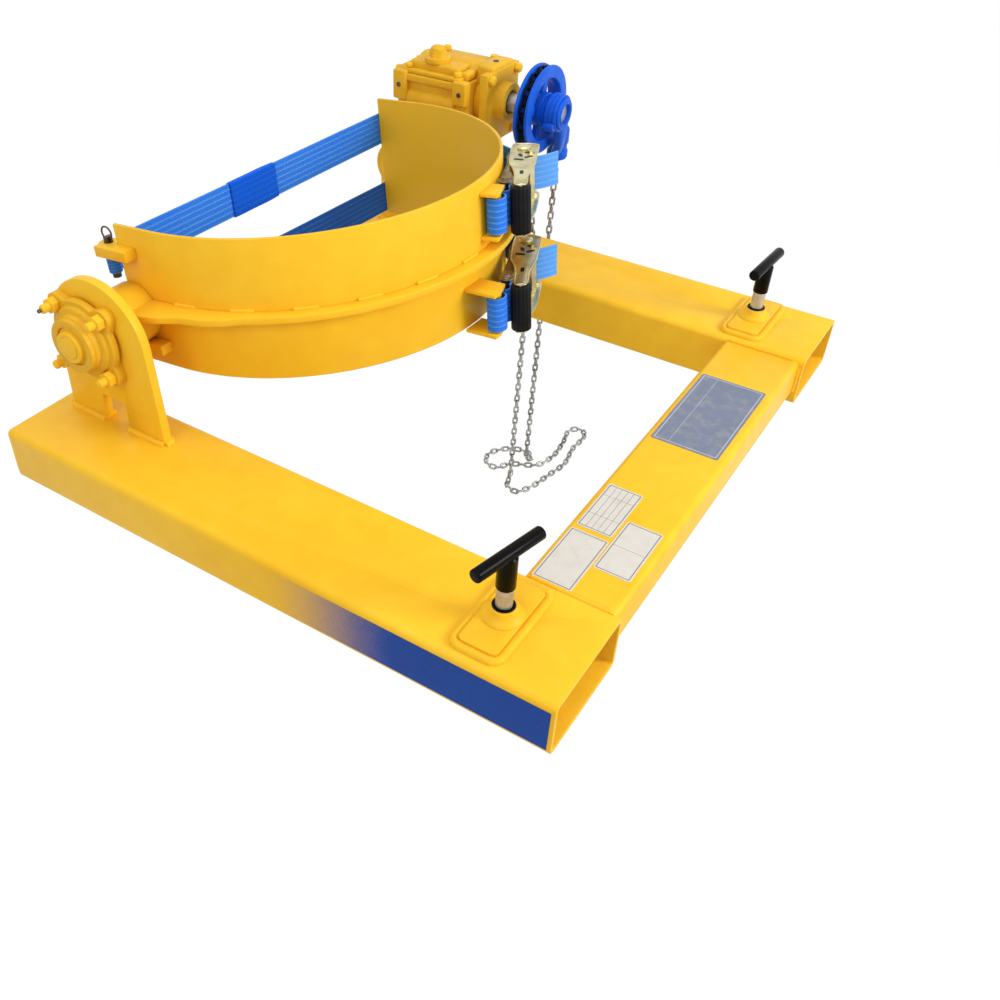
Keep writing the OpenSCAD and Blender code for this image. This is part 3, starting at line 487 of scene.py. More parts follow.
def metal(name, colour, deeper, rough, brush=0.0, metallic=1.0, shaded_in_groove=False):
    """A metal that clouds between two tones. The chain's steel can be painted dark round the chain wheel, as the
    shade in its groove.
    """
    f = Finish(name, Metallic=metallic)
    cloud = f.noise(35.0, 5.0, 0.6)
    fine = f.noise(260.0, 6.0, 0.7)
    x, y, z = f.parts(f.where())
    lines = f.noise(1.0, 4.0, 0.6, at=f.vector(x * 60, y * 60, z * 900))
    tone = f.mix(cloud.step(0.35, 0.7), srgb(colour), srgb(deeper))
    worn = f.mix(fine.step(0.6, 0.8) * 0.35, tone, srgb("8b8676"))
    if shaded_in_groove:
        # Painted shade: the chain is darkened where it lies in the wheel's groove, inside the flanges.
        right_of, above = x - WHEEL.x, z - WHEEL.z
        away = (right_of * right_of + above * above) ** 0.5
        worn = f.mix(away.step(0.074, 0.092), srgb("17171a"), worn)
    f.bump(fine * (1 - brush) + lines * brush, 0.00006, 0.6)
    return f.paint(Base_Color=worn, Roughness=rough + 0.18 * cloud + 0.08 * fine)


zinc = metal("zinc_plate", "dcd5a8", "b5aa80", 0.22)
dull_zinc = metal("zinc_plate_dull", "a89b80", "7c705c", 0.30)
steel = metal("turned_steel", "c9c9ca", "9a9894", 0.20, brush=0.8, metallic=0.62)
# The chain's steel is painted dark as shade round the wheel.
wire_steel = metal("chain_steel", "b4b2ad", "83817c", 0.24, shaded_in_groove=True)
bronze = metal("wheel_bronze", "b98a45", "9a6f33", 0.25, brush=0.5)
old_steel = metal("weathered_steel", "6a6058", "453d36", 0.38)


def moulded(name, colour, paler, rough, pebble, shine):
    """Black moulding or dipped paint with a faint pebble."""
    f = Finish(name, Specular_IOR_Level=shine)
    cloud = f.noise(40.0, 4.0)
    f.bump(f.noise(900.0, 3.0, 0.6), pebble, 0.7)
    tint = f.mix(cloud.step(0.3, 0.75), srgb(colour), srgb(paler))
    return f.paint(Base_Color=tint, Roughness=rough + 0.16 * cloud)


black_grip = moulded("black_moulding", "101012", "18181b", 0.34, 0.00008, 0.12)
black_coat = moulded("black_coating", "060606", "0c0b0b", 0.16, 0.00005, 0.07)
print("metals and mouldings made")

# %% [markdown]
# ## The labels and the rating plate
#
# The labels are thin vinyl, and their borders and ruled boxes are drawn in their own UV
# map, which counts metres from a corner. No words are put on them: they stay blank.

# %% Printed finishes


def printed(name, ground, ink, size, rules, border, line):
    """A label: a ground colour, a thin border inside its edge and ruled lines at set places."""
    f = Finish(name, Specular_IOR_Level=0.2)
    u, v, _ = f.parts(f.where("UV"))
    wide, high = size
    from_edge = u.lowest(wide - u).lowest(v.lowest(high - v))
    mark = ((from_edge - border).size() < line) * 0.9
    inside = from_edge > border
    for axis, place in rules:
        mark = mark + ((({"u": u, "v": v}[axis] - place).size() < line * 0.6) * inside) * 0.7
    grime = f.noise(70.0, 5.0, 0.65)
    paper = f.mix(grime.step(0.4, 0.8) * 0.35, srgb(ground), srgb("b9b19c"))
    f.bump(f.noise(300.0, 2.0), 0.00005, 0.4)
    return f.paint(Base_Color=f.mix(mark.lowest(0.92), paper, srgb(ink)), Roughness=0.38 + 0.15 * grime)


# %% [markdown]
# ## The hand chain
#
# The hand chain is short-link steel chain, 4 mm wire and 13 mm wide, hung over the
# wheel and heaped on the floor. A tube would read as a rope, and hand-placing two
# hundred links would be tedious, so Geometry Nodes does it: the route becomes a
# curve, the curve is cut into steps of one pitch, and a link stands at each step,
# every second one turned a quarter about the chain's own direction.

# %% The chain's route, as in the construction model but a little deeper in the wheel's groove
FLOOR_Z = -0.560
CHAIN_WIDE = 0.013
LIE_Z = FLOOR_Z + CHAIN_WIDE / 2 + 0.0009
WRAP_R = 0.0662
near_strand = [(496, 567, -539.5), (496, 567, -503.5), (496, 567, -300), (496, 567, -60), (496, 567, -10),
               (493, 567, 48), (465, 570, 140), (433, 573, 235)]
far_strand = [(568, 570, 215), (568, 567, 150), (568, 567, -10), (568, 567, -300), (568, 567, -503.5),
              (568, 567, -539.5)]
heap = [(578, 560), (600, 580), (590, 620), (550, 650), (515, 640), (510, 610), (540, 590), (570, 540),
        (620, 525), (680, 530), (730, 540), (750, 520), (730, 500), (670, 500), (610, 490), (550, 500),
        (500, 510), (460, 530), (470, 560)]
over_wheel = [WHEEL + WRAP_R * (Matrix.Rotation(math.radians(-a), 3, "Y") @ X_AXIS) for a in range(180, -1, -20)]
closing = [(482, 564, -552.5), (490, 566, -548), (494, 566.8, -543)]
route = ([Vector(p) * MM for p in near_strand] + over_wheel + [Vector(p) * MM for p in far_strand]
         + [Vector((x * MM, y * MM, LIE_Z)) for x, y in heap] + [Vector(p) * MM for p in closing])
chain_line = smooth_line(route, 0.006)

# %% Geometry Nodes helpers


class Tree(Graph):
    """A Geometry Nodes tree with named inputs, the last of them the finish of what it makes."""

    def __init__(self, name, **numbers):
        super().__init__(bpy.data.node_groups.new(name, "GeometryNodeTree"))
        face = self.tree.interface
        face.new_socket("Geometry", in_out="INPUT", socket_type="NodeSocketGeometry")
        for key, value in numbers.items():
            face.new_socket(key, in_out="INPUT", socket_type="NodeSocketFloat").default_value = value
        face.new_socket("Finish", in_out="INPUT", socket_type="NodeSocketMaterial")
        face.new_socket("Geometry", in_out="OUTPUT", socket_type="NodeSocketGeometry")
        self.source = self.tree.nodes.new("NodeGroupInput")

    def given(self, name):
        return Value(self, self.source.outputs[name])

    def cut(self, length):
        """The input's edges as curves, cut into pieces of one length."""
        curve = self.node("GeometryNodeMeshToCurve", {}, [self.given("Geometry")])
        return self.node("GeometryNodeResampleCurve", {"mode": "LENGTH"}, {"Curve": curve, "Length": length})

    def swept(self, curve, sides, radius, **extra):
        """A smooth round rope along a curve."""
        rope = self.node("GeometryNodeCurvePrimitiveCircle", {"mode": "RADIUS"},
                         {"Resolution": sides, "Radius": radius})
        swept = self.node("GeometryNodeCurveToMesh", {}, {"Curve": curve, "Profile Curve": rope, **extra})
        return self.node("GeometryNodeSetShadeSmooth", {}, {"Geometry": swept, "Shade Smooth": True})

    def finish(self, geometry):
        """Makes the instances real, sets their material and sends them out."""
        real = self.node("GeometryNodeRealizeInstances", {}, [geometry])
        painted = self.node("GeometryNodeSetMaterial", {}, {"Geometry": real, "Material": self.given("Finish")})
        self.tree.links.new(painted.socket, self.tree.nodes.new("NodeGroupOutput").inputs[0])
        return self

    def on(self, name, lines, **values):
        """Runs the tree over polylines, with its inputs set by name, and returns the finished mesh."""
        points, edges = [], []
        for line in lines:
            edges += [(len(points) + i, len(points) + i + 1) for i in range(len(line) - 1)]
            points += [tuple(p) for p in line]
        mesh = bpy.data.meshes.new(name)
        mesh.from_pydata(points, edges, [])
        obj = stand(name, mesh)
        modifier = obj.modifiers.new(self.tree.name, "NODES")
        modifier.node_group = self.tree
        for socket in self.tree.interface.items_tree:
            if socket.in_out == "INPUT" and socket.name in values:
                modifier[socket.identifier] = values[socket.name]
        return baked(obj)


# %% Links along the route


def link_tree():
    """Short links along a line, every second one turned a quarter."""
    t = Tree("links", Pitch=0.0142, Wire=0.0042, Wide=0.013, Long=0.0215)
    wire = t.given("Wire")
    wide = t.given("Wide") - wire
    outline = t.node("GeometryNodeCurvePrimitiveQuadrilateral", {},
                     {"Width": t.given("Long") - wire, "Height": wide})
    filleted = t.node("GeometryNodeFilletCurve", {"mode": "POLY"},
                      {"Curve": outline, "Count": 3, "Radius": wide * 0.4999})
    link = t.swept(filleted, 6, wire * 0.5)
    along = t.node("FunctionNodeAlignRotationToVector", {"axis": "X"},
                   {"Vector": t.node("GeometryNodeInputTangent")})
    quarter = t.node("GeometryNodeInputIndex") % 2 * (math.pi / 2) + math.radians(45)
    spin = t.node("FunctionNodeAxisAngleToRotation", {}, {"Axis": X_AXIS, "Angle": quarter})
    turned = t.node("FunctionNodeRotateRotation", {"rotation_space": "LOCAL"},
                    {"Rotation": along, "Rotate By": spin})
    return t.finish(t.node("GeometryNodeInstanceOnPoints", {},
                           {"Points": t.cut(t.given("Pitch")), "Instance": link, "Rotation": turned}))


chain = link_tree().on("hand_chain_links", [chain_line], Finish=wire_steel)
fit(chain, "frame", "chain_steel", None, "hand_chain")
print("chain:", len(chain.data.polygons), "faces")

# %% [markdown]
# ## Webbing
#
# The straps are 50 mm polyester webbing. Its weave shows as ribs along its length,
# with a fine twill between them, and its edges are a little thicker than its middle.
# Cloth simulation would add nothing, because a tight strap has no folds, so a band
# is swept along its path in Python and carries a UV map: u is the distance along it
# in metres and v runs across it. The finish reads that map, so the weave follows
# every bend.

# %% Webbing's finish


def webbing(name, colour, deeper, lighter):
    """Woven polyester: ribs along u, a fine twill, and soft dark gaps between the ribs."""
    f = Finish(name, Roughness=0.72, Sheen_Weight=0.04, Sheen_Roughness=0.4, Specular_IOR_Level=0.08)
    u, v, _ = f.parts(f.where("UV"))
    across = v * 50.0
    rib = (across * (2 * math.pi / 2.5)).wave() * 0.5 + 0.5
    band = (across * (2 * math.pi / 8.3) + 1.2).wave().step(0.35, 0.95)
    twill = ((u * 1000 + across * 0.8) * (2 * math.pi / 1.6)).wave() * 0.5 + 0.5
    thread = f.noise(1.0, 3.0, 0.6, at=f.vector(u * 900, across * 2.2, 0.0))
    fade = f.noise(9.0, 3.0)
    tone = f.mix(rib * 0.55 + twill * 0.25, srgb(deeper), srgb(colour))
    striped = f.mix(band * thread.step(0.35, 0.7) * 0.55, tone, srgb(lighter))
    uneven = f.mix(fade.step(0.35, 0.7) * 0.25, striped, srgb(deeper))
    f.bump(rib * 0.6 + twill * 0.25 + thread * 0.3, 0.0007, 0.8)
    return f.paint(Base_Color=uneven, Roughness=0.62 + 0.2 * thread)


blue_web = webbing("blue_webbing", "3a8cfa", "2470e2", "a4ceff")
dark_web = webbing("blue_sleeve_webbing", "0a66f0", "0750cc", "2e80f6")
# A darker copy of the webbing, painted shade, for the lower strap.
painted_shade_web = webbing("blue_webbing_below", "2a6fd8", "1a50ae", "6fa4ee")
# A paler copy of the webbing, painted light, for the tails.
painted_light_web = webbing("pale_blue_webbing", "6cb2ff", "559dfa", "b8dcff")

# %% A band along a line
WEB_T, WEB_W, SEAT = 0.003, 0.050, 0.0003


def even(half, middle=0.0):
    """A width that stays the same all along."""
    return lambda s: (middle, half)


def band(name, line, place, spread, closed=True, cells=8, sag=0.0, ripple=0.0, thick=0.0026):
    """Webbing on edge along a line in a place's plan.

    spread gives, at a distance along the line, the height of the webbing's middle and half
    its width. All in metres.
    """
    n, rows, run_on, points, uv_of = len(line), 2 * (cells + 1), 0.0, [], []
    for i, p in enumerate(line):
        before = line[(i - 1) % n] if closed else line[max(0, i - 1)]
        after = line[(i + 1) % n] if closed else line[min(n - 1, i + 1)]
        way = (after - before).normalized()
        if i:
            run_on += (p - line[i - 1]).length
        middle, half = spread(run_on)
        for side in (1, -1):
            for k in range(cells + 1):
                w = side * (2 * k / cells - 1)
                bulge = sag * (1 - w * w) + ripple * noise(Vector((run_on * 9, w * 1.3, 3.7)))
                out = side * thick / 2 * (1 - 0.25 * abs(w) ** 10) + bulge
                points.append(place @ (p + out * Vector((-way.y, way.x, 0)) + (middle + w * half) * Z_AXIS))
                uv_of.append((run_on, (w + 1) / 2))
    return outward(mapped(piece(name, points, skin(n, rows, closed), 60), uv_of), merge=None)


# %% [markdown]
# ## The two straps
#
# Each strap starts in a sewn eye on its pin, crosses the cradle's open side, turns
# the shell's far edge and follows the shell's back to the ratchet's spool. The
# path is plain geometry: straight lines and arcs tangent to each other.

# %% The path of a strap in the cradle's plan
PIN = Vector((-SHELL_R, 0.026, 0))
REACH = 0.010
OUTER_R = SHELL_R + SEAT
far_corner = Vector((OUTER_R, REACH + SEAT, 0))


def arc(centre, radius, start, end, step=0.006):
    """Points along an arc between two angles in radians."""
    n = max(2, round(abs(end - start) * radius / step))
    return [centre + radius * compass(start + (end - start) * k / n) for k in range(n + 1)]


def straight(a, b, step=0.012):
    """Points along a straight line, without its first."""
    n = max(1, round((b - a).length / step))
    return [a.lerp(b, k / n) for k in range(1, n + 1)]


def strap_path(angle):
    """From the pin over the mouth, round the far edge and the shell's back, to the spool."""
    middle_r = OUTER_R + WEB_T / 2
    leave = angle + math.acos(OUTER_R / SPOOL_R)
    last = math.sqrt(SPOOL_R ** 2 - OUTER_R ** 2) - 0.010
    path = [PIN + 0.0075 * X_AXIS]
    path += straight(path[-1], far_corner + WEB_T / 2 * Y_AXIS)
    path += arc(far_corner, WEB_T / 2, math.pi / 2, 0, 0.0006)[1:]
    path += straight(path[-1], Vector((middle_r, -SETBACK, 0)))
    path += arc(HUB, middle_r, 0, leave)[1:]
    return path + straight(path[-1], HUB + Matrix.Rotation(leave, 3, "Z") @ Vector((middle_r, -last, 0)))


def strap(name, angle, z_near, z_far, eye):
    """One strap: its width opens from the eye under its lug to the full webbing."""
    front = (far_corner - PIN).length
    eye_middle, eye_half = (eye[0] + eye[1]) / 2, (eye[1] - eye[0]) / 2

    def spread(s):
        share = min(1, max(0, (s - 0.009) / 0.028))
        share = share * share * (3 - 2 * share)
        taut = z_near + (z_far - z_near) * min(1, max(0, (s - 0.06) / (front - 0.06)))
        return eye_middle + (taut - eye_middle) * share, eye_half + (WEB_W / 2 - eye_half) * share

    path = strap_path(angle)
    print(name, round(length_of(path), 3), "m")
    return band(name, path, cradle, spread, closed=False, cells=12, ripple=0.0005)


EYE = {"upper": (0.0512, 0.0786), "lower": (-0.0698, -0.0504)}
upper_strap = strap("upper_strap_web", SPOOL_ANGLE["upper"], 0.071, 0.070, EYE["upper"])
lower_strap = strap("lower_strap_web", SPOOL_ANGLE["lower"], -0.038, -0.048, EYE["lower"])
fit(upper_strap, "cradle", "blue_webbing", blue_web, "upper_strap")
# The lower strap wears the darker copy of the webbing: painted shade.
fit(lower_strap, "cradle", "blue_webbing", painted_shade_web, "lower_strap")

# %% [markdown]
# ## Sewn loops, the keeper sleeve and the loose tails
#
# Four more things are webbing: the eye round each pin, the short loop that ties each
# ratchet to its bar, the sleeve sewn on the upper strap, and the free tail that hangs
# out of each spool. The short loops are slack, so their outer layer folds into two
# soft rolls beside the bar.

# %% Eyes on the pins, and short loops between the bar and the ratchet's bolt
eye_line = [PIN + 0.0079 * compass(2 * math.pi * k / 20) for k in range(20)]
loop_points = [(109.2, 1.5), (109.0, -2.5), (112, -6.4), (117, -6.9), (130, -8.0), (142, -10.8), (152, -13.0),
               (162, -13.6), (171, -12.0), (177, -6.6), (178.8, 0.5), (176.0, 7.0), (169.0, 11.4), (161.0, 11.6),
               (155.6, 8.0), (152.8, 2.6), (150.0, 0.6), (147.2, 2.6), (144.6, 8.2), (139.5, 12.2), (133.5, 11.6),
               (128.6, 8.6), (121.5, 7.3), (115.0, 6.9), (110.8, 5.0)]
loop_line = smooth_line(in_metres(loop_points), 0.0018, closed=True)
for side in SIDES:
    low, high = EYE[side]
    eye = band(f"{side}_strap_eye", eye_line, cradle, even((high - low) / 2, (low + high) / 2))
    fit(eye, "cradle", "blue_webbing", blue_web)
for side in SIDES:
    short_loop = band(f"{side}_short_loop", loop_line, ratchets[side], even(0.0247))
    fit(short_loop, "cradle", "blue_webbing", blue_web, f"{side}_anchor_loop")
print("short loops:", round(length_of(loop_line), 3), "m round")

# %% The sleeve on the upper strap
front_run = far_corner + WEB_T / 2 * Y_AXIS - PIN
sleeve_place = (cradle @ Matrix.Translation(PIN + (STRAP_Z["upper"] + 0.0004) * Z_AXIS)
                @ Matrix.Rotation(math.atan2(front_run.y, front_run.x), 4, "Z"))
SLEEVE = (0.230, 0.328)


def sleeve(name, inner_half_t, half_w, wall, n_long=22, n_round=40):
    """A flat tube of webbing round the strap, a little puffed between its ends."""
    outline = [(math.copysign(abs(p.x) ** 0.28, p.x), math.copysign(abs(p.y) ** 0.22, p.y))
               for p in (compass(2 * math.pi * a / n_round) for a in range(n_round))]
    points, uv_of = [], []
    for outer, order in ((1, range(n_long + 1)), (0, range(n_long, -1, -1))):
        for u in (i / n_long for i in order):
            x = SLEEVE[0] + u * (SLEEVE[1] - SLEEVE[0])
            extra = outer * (wall + 0.0011 * math.sin(math.pi * u) + 0.0004 * math.sin(9 * u + 1))
            for cy, cz in outline:
                points.append(sleeve_place @ Vector((x, cy * (inner_half_t + extra), cz * (half_w + extra * 0.25))))
                uv_of.append((x, 0.5 + cz / 2))
    obj = piece(name, points, skin(2 * (n_long + 1), n_round), 60)
    return outward(mapped(obj, uv_of), merge=None)


fit(sleeve("strap_sleeve", 0.0021, 0.0253, 0.0022), "cradle", "blue_webbing", dark_web, "strap_keeper")

# %% The free tails
tail_points = {"upper": [(3, 9.6), (3, 15), (-2, 23), (-10, 32), (-19, 40), (-26, 45)],
               "lower": [(3, 9.6), (3, 15), (-1, 22), (-8, 30), (-16, 37), (-22, 41)]}
for side in SIDES:
    tail_line = smooth_line(in_metres(tail_points[side]), 0.002)
    tail = band(f"{side}_webbing_tail", tail_line, ratchets[side], even(0.0245), closed=False, sag=0.0008)
    # The tails wear the paler copy of the webbing: painted light.
    fit(tail, f"{side}_handle", "blue_webbing", painted_light_web)
print("loops, sleeve and tails made")

# %% [markdown]
# ## Soft edges on welded plate and castings
#
# The construction model's edges are perfectly sharp. Real plate is dressed with a
# grinder, castings come from a mould with a radius everywhere, and thick enamel
# rounds both. A copy of each node's mesh is merged, its flat triangles are joined
# back into whole faces, and a Bevel modifier rounds what is left sharp.

# %% Rounding a node's edges


def rounded(node, width):
    """A copy of a construction node with rounded edges, of a width in millimetres."""
    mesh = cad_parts[node].data.copy()
    with opened(mesh) as work:
        bmesh.ops.remove_doubles(work, verts=work.verts, dist=1e-5)
        bmesh.ops.dissolve_limit(work, angle_limit=math.radians(0.5), verts=work.verts, edges=work.edges)
    return bevelled(stand(node + "_dressed", mesh), width * MM)


dressed = [
    ("frame", yellow, {
        "left_arm_tube": 1.2, "right_arm_tube": 1.2, "cross_member": 1.0, "arm_end_caps": 1.2, "clamp_pads": 1.8,
        "clamp_nuts": 1.0, "left_bearing_bracket": 1.5, "right_bearing_bracket": 1.5, "gearbox_pedestal": 1.5,
        "gearbox_bolts": 0.8, "bearing_bolts": 1.0, "bearing_inner_rings": 1.0}),
    ("frame", yellow_cast, {
        "bearing_housings": 2.5, "gearbox_housing": 3.0, "worm_input_flange": 2.5, "worm_end_flange": 2.5,
        "gearbox_filler_cap": 1.5}),
    ("cradle", yellow, {
        "left_trunnion_shaft": 1.0, "stiffening_ring": 1.2, "trunnion_bosses": 1.5, "strap_lugs": 1.0}),
    ("cradle", yellow_shell, {"drum_shell": 1.2}),
]
for body, finish, widths in dressed:
    for node, width in widths.items():
        fit(rounded(node, width), body, "yellow_paint", finish, node)
    print("rounded", len(widths), "nodes on the", body)

# %% The ratchets' brackets, trimmed close round their bars
RIB_Z, BRACKET_END = 0.011, 0.0062


def trimmed(side):
    """One bracket of the pair, cut off beyond its bar by a plane in its ratchet's own frame."""
    obj = rounded("ratchet_mounts", 1.0)
    with opened(obj.data) as work:
        upright = cradle.inverted()
        other = [v for v in work.verts if ((upright @ v.co).z > RIB_Z) != (side == "upper")]
        bmesh.ops.delete(work, geom=other, context="VERTS")
        cut = bmesh.ops.bisect_plane(work, geom=work.verts[:] + work.edges[:] + work.faces[:], dist=1e-6,
                                     plane_co=ratchets[side] @ (BRACKET_END * Y_AXIS),
                                     plane_no=ratchets[side].to_3x3() @ Y_AXIS, clear_outer=True)
        bmesh.ops.holes_fill(work, edges=[e for e in cut["geom_cut"] if isinstance(e, bmesh.types.BMEdge)])
        bmesh.ops.recalc_face_normals(work, faces=work.faces)
    return shade(obj)


for side in SIDES:
    bracket = trimmed(side)
    bracket.name = f"{side}_ratchet_bracket"
    fit(bracket, "cradle", "yellow_paint", yellow, "ratchet_mounts")
    print(side, "bracket:", len(bracket.data.polygons), "faces")

# %% Finishes of the nodes that stay as they are
plain = [
    (steel, ["left_clamp_screw", "right_clamp_screw", "left_clamp_foot", "right_clamp_foot", "gearbox_bearings",
             "worm_shaft", "right_trunnion_shaft"]),
    (bronze, ["worm_wheel"]),
    (stripe, ["side_stripe"]),
    (zinc, ["upper_ratchet_spool", "lower_ratchet_spool", "upper_ratchet_pawl", "lower_ratchet_pawl"]),
    (old_steel, ["upper_strap_pin", "lower_strap_pin", "upper_pin_ring", "lower_pin_ring"]),
]
for finish, nodes in plain:
    for node in nodes:
        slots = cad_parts[node].data.materials
        slots.clear()
        slots.append(finish)

# %% [markdown]
# ## Labels on the cross member
#
# Each label is a sheet 0.6 mm thick with rounded corners, exactly where the construction
# model has a plain block.

# %% Four printed sheets
BEAM_TOP = 0.036


def label(name, finish_name, corner, size, rules=(), ground="d3cfc7", ink="62615f", border=0.0028, line=0.0006):
    """A thin sheet on the beam, printed in metres from its corner."""
    wide, high = size
    finish = printed(finish_name, ground, ink, size, rules, border, line)
    outline = rectangle_line(wide / 2, high / 2, 0, wide, high, 0.003, 4)[:-1]
    place = Matrix.Translation((*corner, BEAM_TOP))
    obj = mapped(prism(name, outline, 0.00002, 0.0006, place, sharp=30), [(p.x, p.y) for p in outline] * 2)
    fit(obj, "frame", "label_white", finish, "blank_labels")


label("label_near_left", "label_bordered", (-0.321, 0.068), (0.104, 0.052))
label("label_near_right", "label_ruled", (-0.209, 0.070), (0.097, 0.048), [
    ("v", 0.012), ("v", 0.020), ("v", 0.028), ("v", 0.036), ("u", 0.030), ("u", 0.072)])
label("label_front", "label_two_halves", (-0.268, 0.018), (0.100, 0.048), [("u", 0.050)])
label("rating_plate", "plate_grey_blue", (0.015, 0.020), (0.195, 0.097), [("v", 0.072)], "747d93", "b4b8c4",
      border=0.004, line=0.0008)
print("labels made")

# %% [markdown]
# ## Weld beads
#
# Every joint of the real frame is run with a MIG bead, a rounded rope with a ripple each
# few millimetres. A polyline along the seam becomes a curve, its radius is waved along
# its length, and a small circle is swept along it. The same tree makes the wide frames
# round the clamp pads and the stitches that hold the rib to the shell.

# %% The bead tree


def bead_tree():
    """A rippled round bead along every line of a mesh."""
    t = Tree("weld_bead", Radius=0.004, Ripple=0.10, Each=0.0042)
    wave = (t.node("GeometryNodeSplineParameter", output="Length") / t.given("Each")).fraction()
    rough = t.node("ShaderNodeTexNoise", {}, {"Scale": 240.0, "Detail": 2.0})
    radius = ((wave + rough) * t.given("Ripple") + 0.9) * t.given("Radius")
    return t.finish(t.swept(t.cut(0.0014), 8, 1.0, **{"Scale": radius, "Fill Caps": True}))


beads = bead_tree()

# %% Seams of the frame: at the brackets' feet, at the beam's ends and round the clamp pads
ARM_X, ARM_TOP, PAD_Y = 0.405, 0.040, 0.110
INNER_X, PLATE_IN, PLATE_OUT = 0.325, 0.372, 0.385
FOOT = (PIVOT.y - 0.1075, PIVOT.y - 0.040, PIVOT.y + 0.004, PIVOT.y + 0.0715)


def seam(s, start, end):
    """A straight seam between two points on the right arm, or their mirror images on the left."""
    return [Vector((s * x, y, z)) for x, y, z in (start, end)]


on_arm, on_beam, beam_end, beside = ARM_TOP + 0.0005, BEAM_TOP + 0.0006, INNER_X - 0.0005, 0.001
fine_lines, thick_lines, wide_lines = [], [], []
for s in (-1, 1):
    for x in (PLATE_OUT + beside, PLATE_IN - beside):
        for y0, y1 in ((FOOT[0] + beside, FOOT[1] - beside), (FOOT[2] + beside, FOOT[3] - beside)):
            thick_lines.append(seam(s, (x, y0, on_arm), (x, y1, on_arm)))
    for y in (FOOT[0] - beside, FOOT[3] + beside):
        thick_lines.append(seam(s, (PLATE_IN, y, on_arm), (PLATE_OUT, y, on_arm)))
    fine_lines.append(seam(s, (INNER_X, 0.018, on_beam), (INNER_X, 0.116, on_beam)))
    for y in (0.0066, 0.1274):
        fine_lines.append(seam(s, (beam_end, y, -0.016), (beam_end, y, 0.026)))
    wide_lines.append(rectangle_line(s * ARM_X, PAD_Y, ARM_TOP + 0.0006, 0.127, 0.059, 0.012))
frame_welds = joined("frame_welds", [
    beads.on("welds_at_feet", thick_lines, Radius=0.0056, Ripple=0.09, Finish=yellow),
    beads.on("welds_at_beam", fine_lines, Radius=0.0034, Ripple=0.10, Finish=yellow),
    beads.on("welds_round_pads", wide_lines, Radius=0.0062, Ripple=0.05, Each=0.006, Finish=yellow)], 60)
fit(frame_welds, "frame", "yellow_paint", yellow, "weld_beads")

# %% Stitches along the rib
STITCH_R, RIB_TOP, RIB_UNDER = 0.3008, 0.0235, 0.0125
stitches = []
for height, first, count in ((RIB_TOP, -176, 11), (RIB_UNDER, -169, 10)):
    for start in range(first, first + 16 * count, 16):
        stitches.append([cradle @ (HUB + STITCH_R * compass(math.radians(start + 0.9 * i)) + height * Z_AXIS)
                         for i in range(8)])
cradle_welds = beads.on("cradle_welds", stitches, Radius=0.0031, Ripple=0.12, Finish=yellow)
fit(cradle_welds, "cradle", "yellow_paint", None)
print("welds:", len(frame_welds.data.polygons) + len(cradle_welds.data.polygons), "faces")

# %% [markdown]
# ## Clamp handles
#
# Each clamp is turned by a plain round bar through a sleeve. Lathed pieces are enough:
# a bar with rounded ends, a sleeve that runs up to it, and a dark lock ring on the nut.
# A soft mound of paint and weld blends the nut into its pad.

# %% Handles and lock rings
HANDLE_TURN = {"left": -13, "right": -3}
SLEEVE_PROFILE = [(10.1, -46.6), (11.2, -47), (11.5, -46.2), (11.2, -4), (9, -1.5), (0.01, -1.5), (0.01, -9),
                  (10.1, -9)]
LOCK_PROFILE = [(10.2, 62.1), (13.2, 62.1), (13.8, 62.8), (13.2, 63.7), (10.2, 64)]
MOUND_PROFILE = [(13.5, 48.4), (25.5, 48.4), (24.6, 50), (20.5, 52.8), (17.8, 56), (16.8, 60), (15, 61.8),
                 (13.5, 61.8)]
for side, s in (("left", -1), ("right", 1)):
    axle = Vector((s * ARM_X, PAD_Y, 0))
    middle = axle + 0.138 * Z_AXIS
    handle = joined(f"{side}_clamp_handle_turned", [
        lathe("bar", dome(8.3, 104, 2.2), compass(math.radians(HANDLE_TURN[side])), middle, 28),
        lathe("sleeve", SLEEVE_PROFILE, Z_AXIS, middle, 28)], 40)
    fit(handle, f"{side}_screw", "black_paint", black_coat, f"{side}_clamp_handle")
    fit(lathe(f"{side}_lock_ring", LOCK_PROFILE, Z_AXIS, axle, 28), "frame", "black_paint", black_coat)
    fit(lathe(f"{side}_nut_mound", MOUND_PROFILE, Z_AXIS, axle, 40), "frame", "yellow_paint", yellow)
print("clamp handles made")

# %% [markdown]
# ## Ratchets: pressed plates and ribbed grips
#
# A ratchet is pressed from plate with a turned-up rim, and its handle ends in a ribbed
# moulded grip. The rim, the pivot's domed head and the stamped slots are added to the
# handle's plates, and the grip is a section with shallow flutes. The slots are dark sheets, painted shade where the
# plate is open.

# %% Grips, plates, rims and slots
LEAN = math.radians(11)
GRIP = Vector((0.147, 0, 0))


def fluted(name, place, radius=0.0134, bore=0.0053, half=0.0331, flutes=14, steps=112):
    """A hollow grip with shallow flutes and eased ends."""
    angles, points = [2 * math.pi * k / steps for k in range(steps)], []
    stations = [(-half, 0.90), (-half + 0.0006, 0.965), (-half + 0.0022, 1.0)]
    for z, share in stations + [(-z, share) for z, share in stations[::-1]]:
        for a in angles:
            r = radius * share - 0.0011 * (0.5 - 0.5 * math.cos(flutes * a)) ** 4
            points.append(place @ Vector((r * math.cos(a), 1.06 * r * math.sin(a), z)))
    for z in (half, -half):
        points += [place @ (bore * compass(a) + z * Z_AXIS) for a in angles]
    return shade(outward(piece(name, points, skin(8, steps))), 50)


def plate(name, outline, z0, z1, place):
    """Flat plate cut to an outline in millimetres between two heights."""
    return bevelled(outward(prism(name, in_metres(outline), z0, z1, place)), 0.0005)


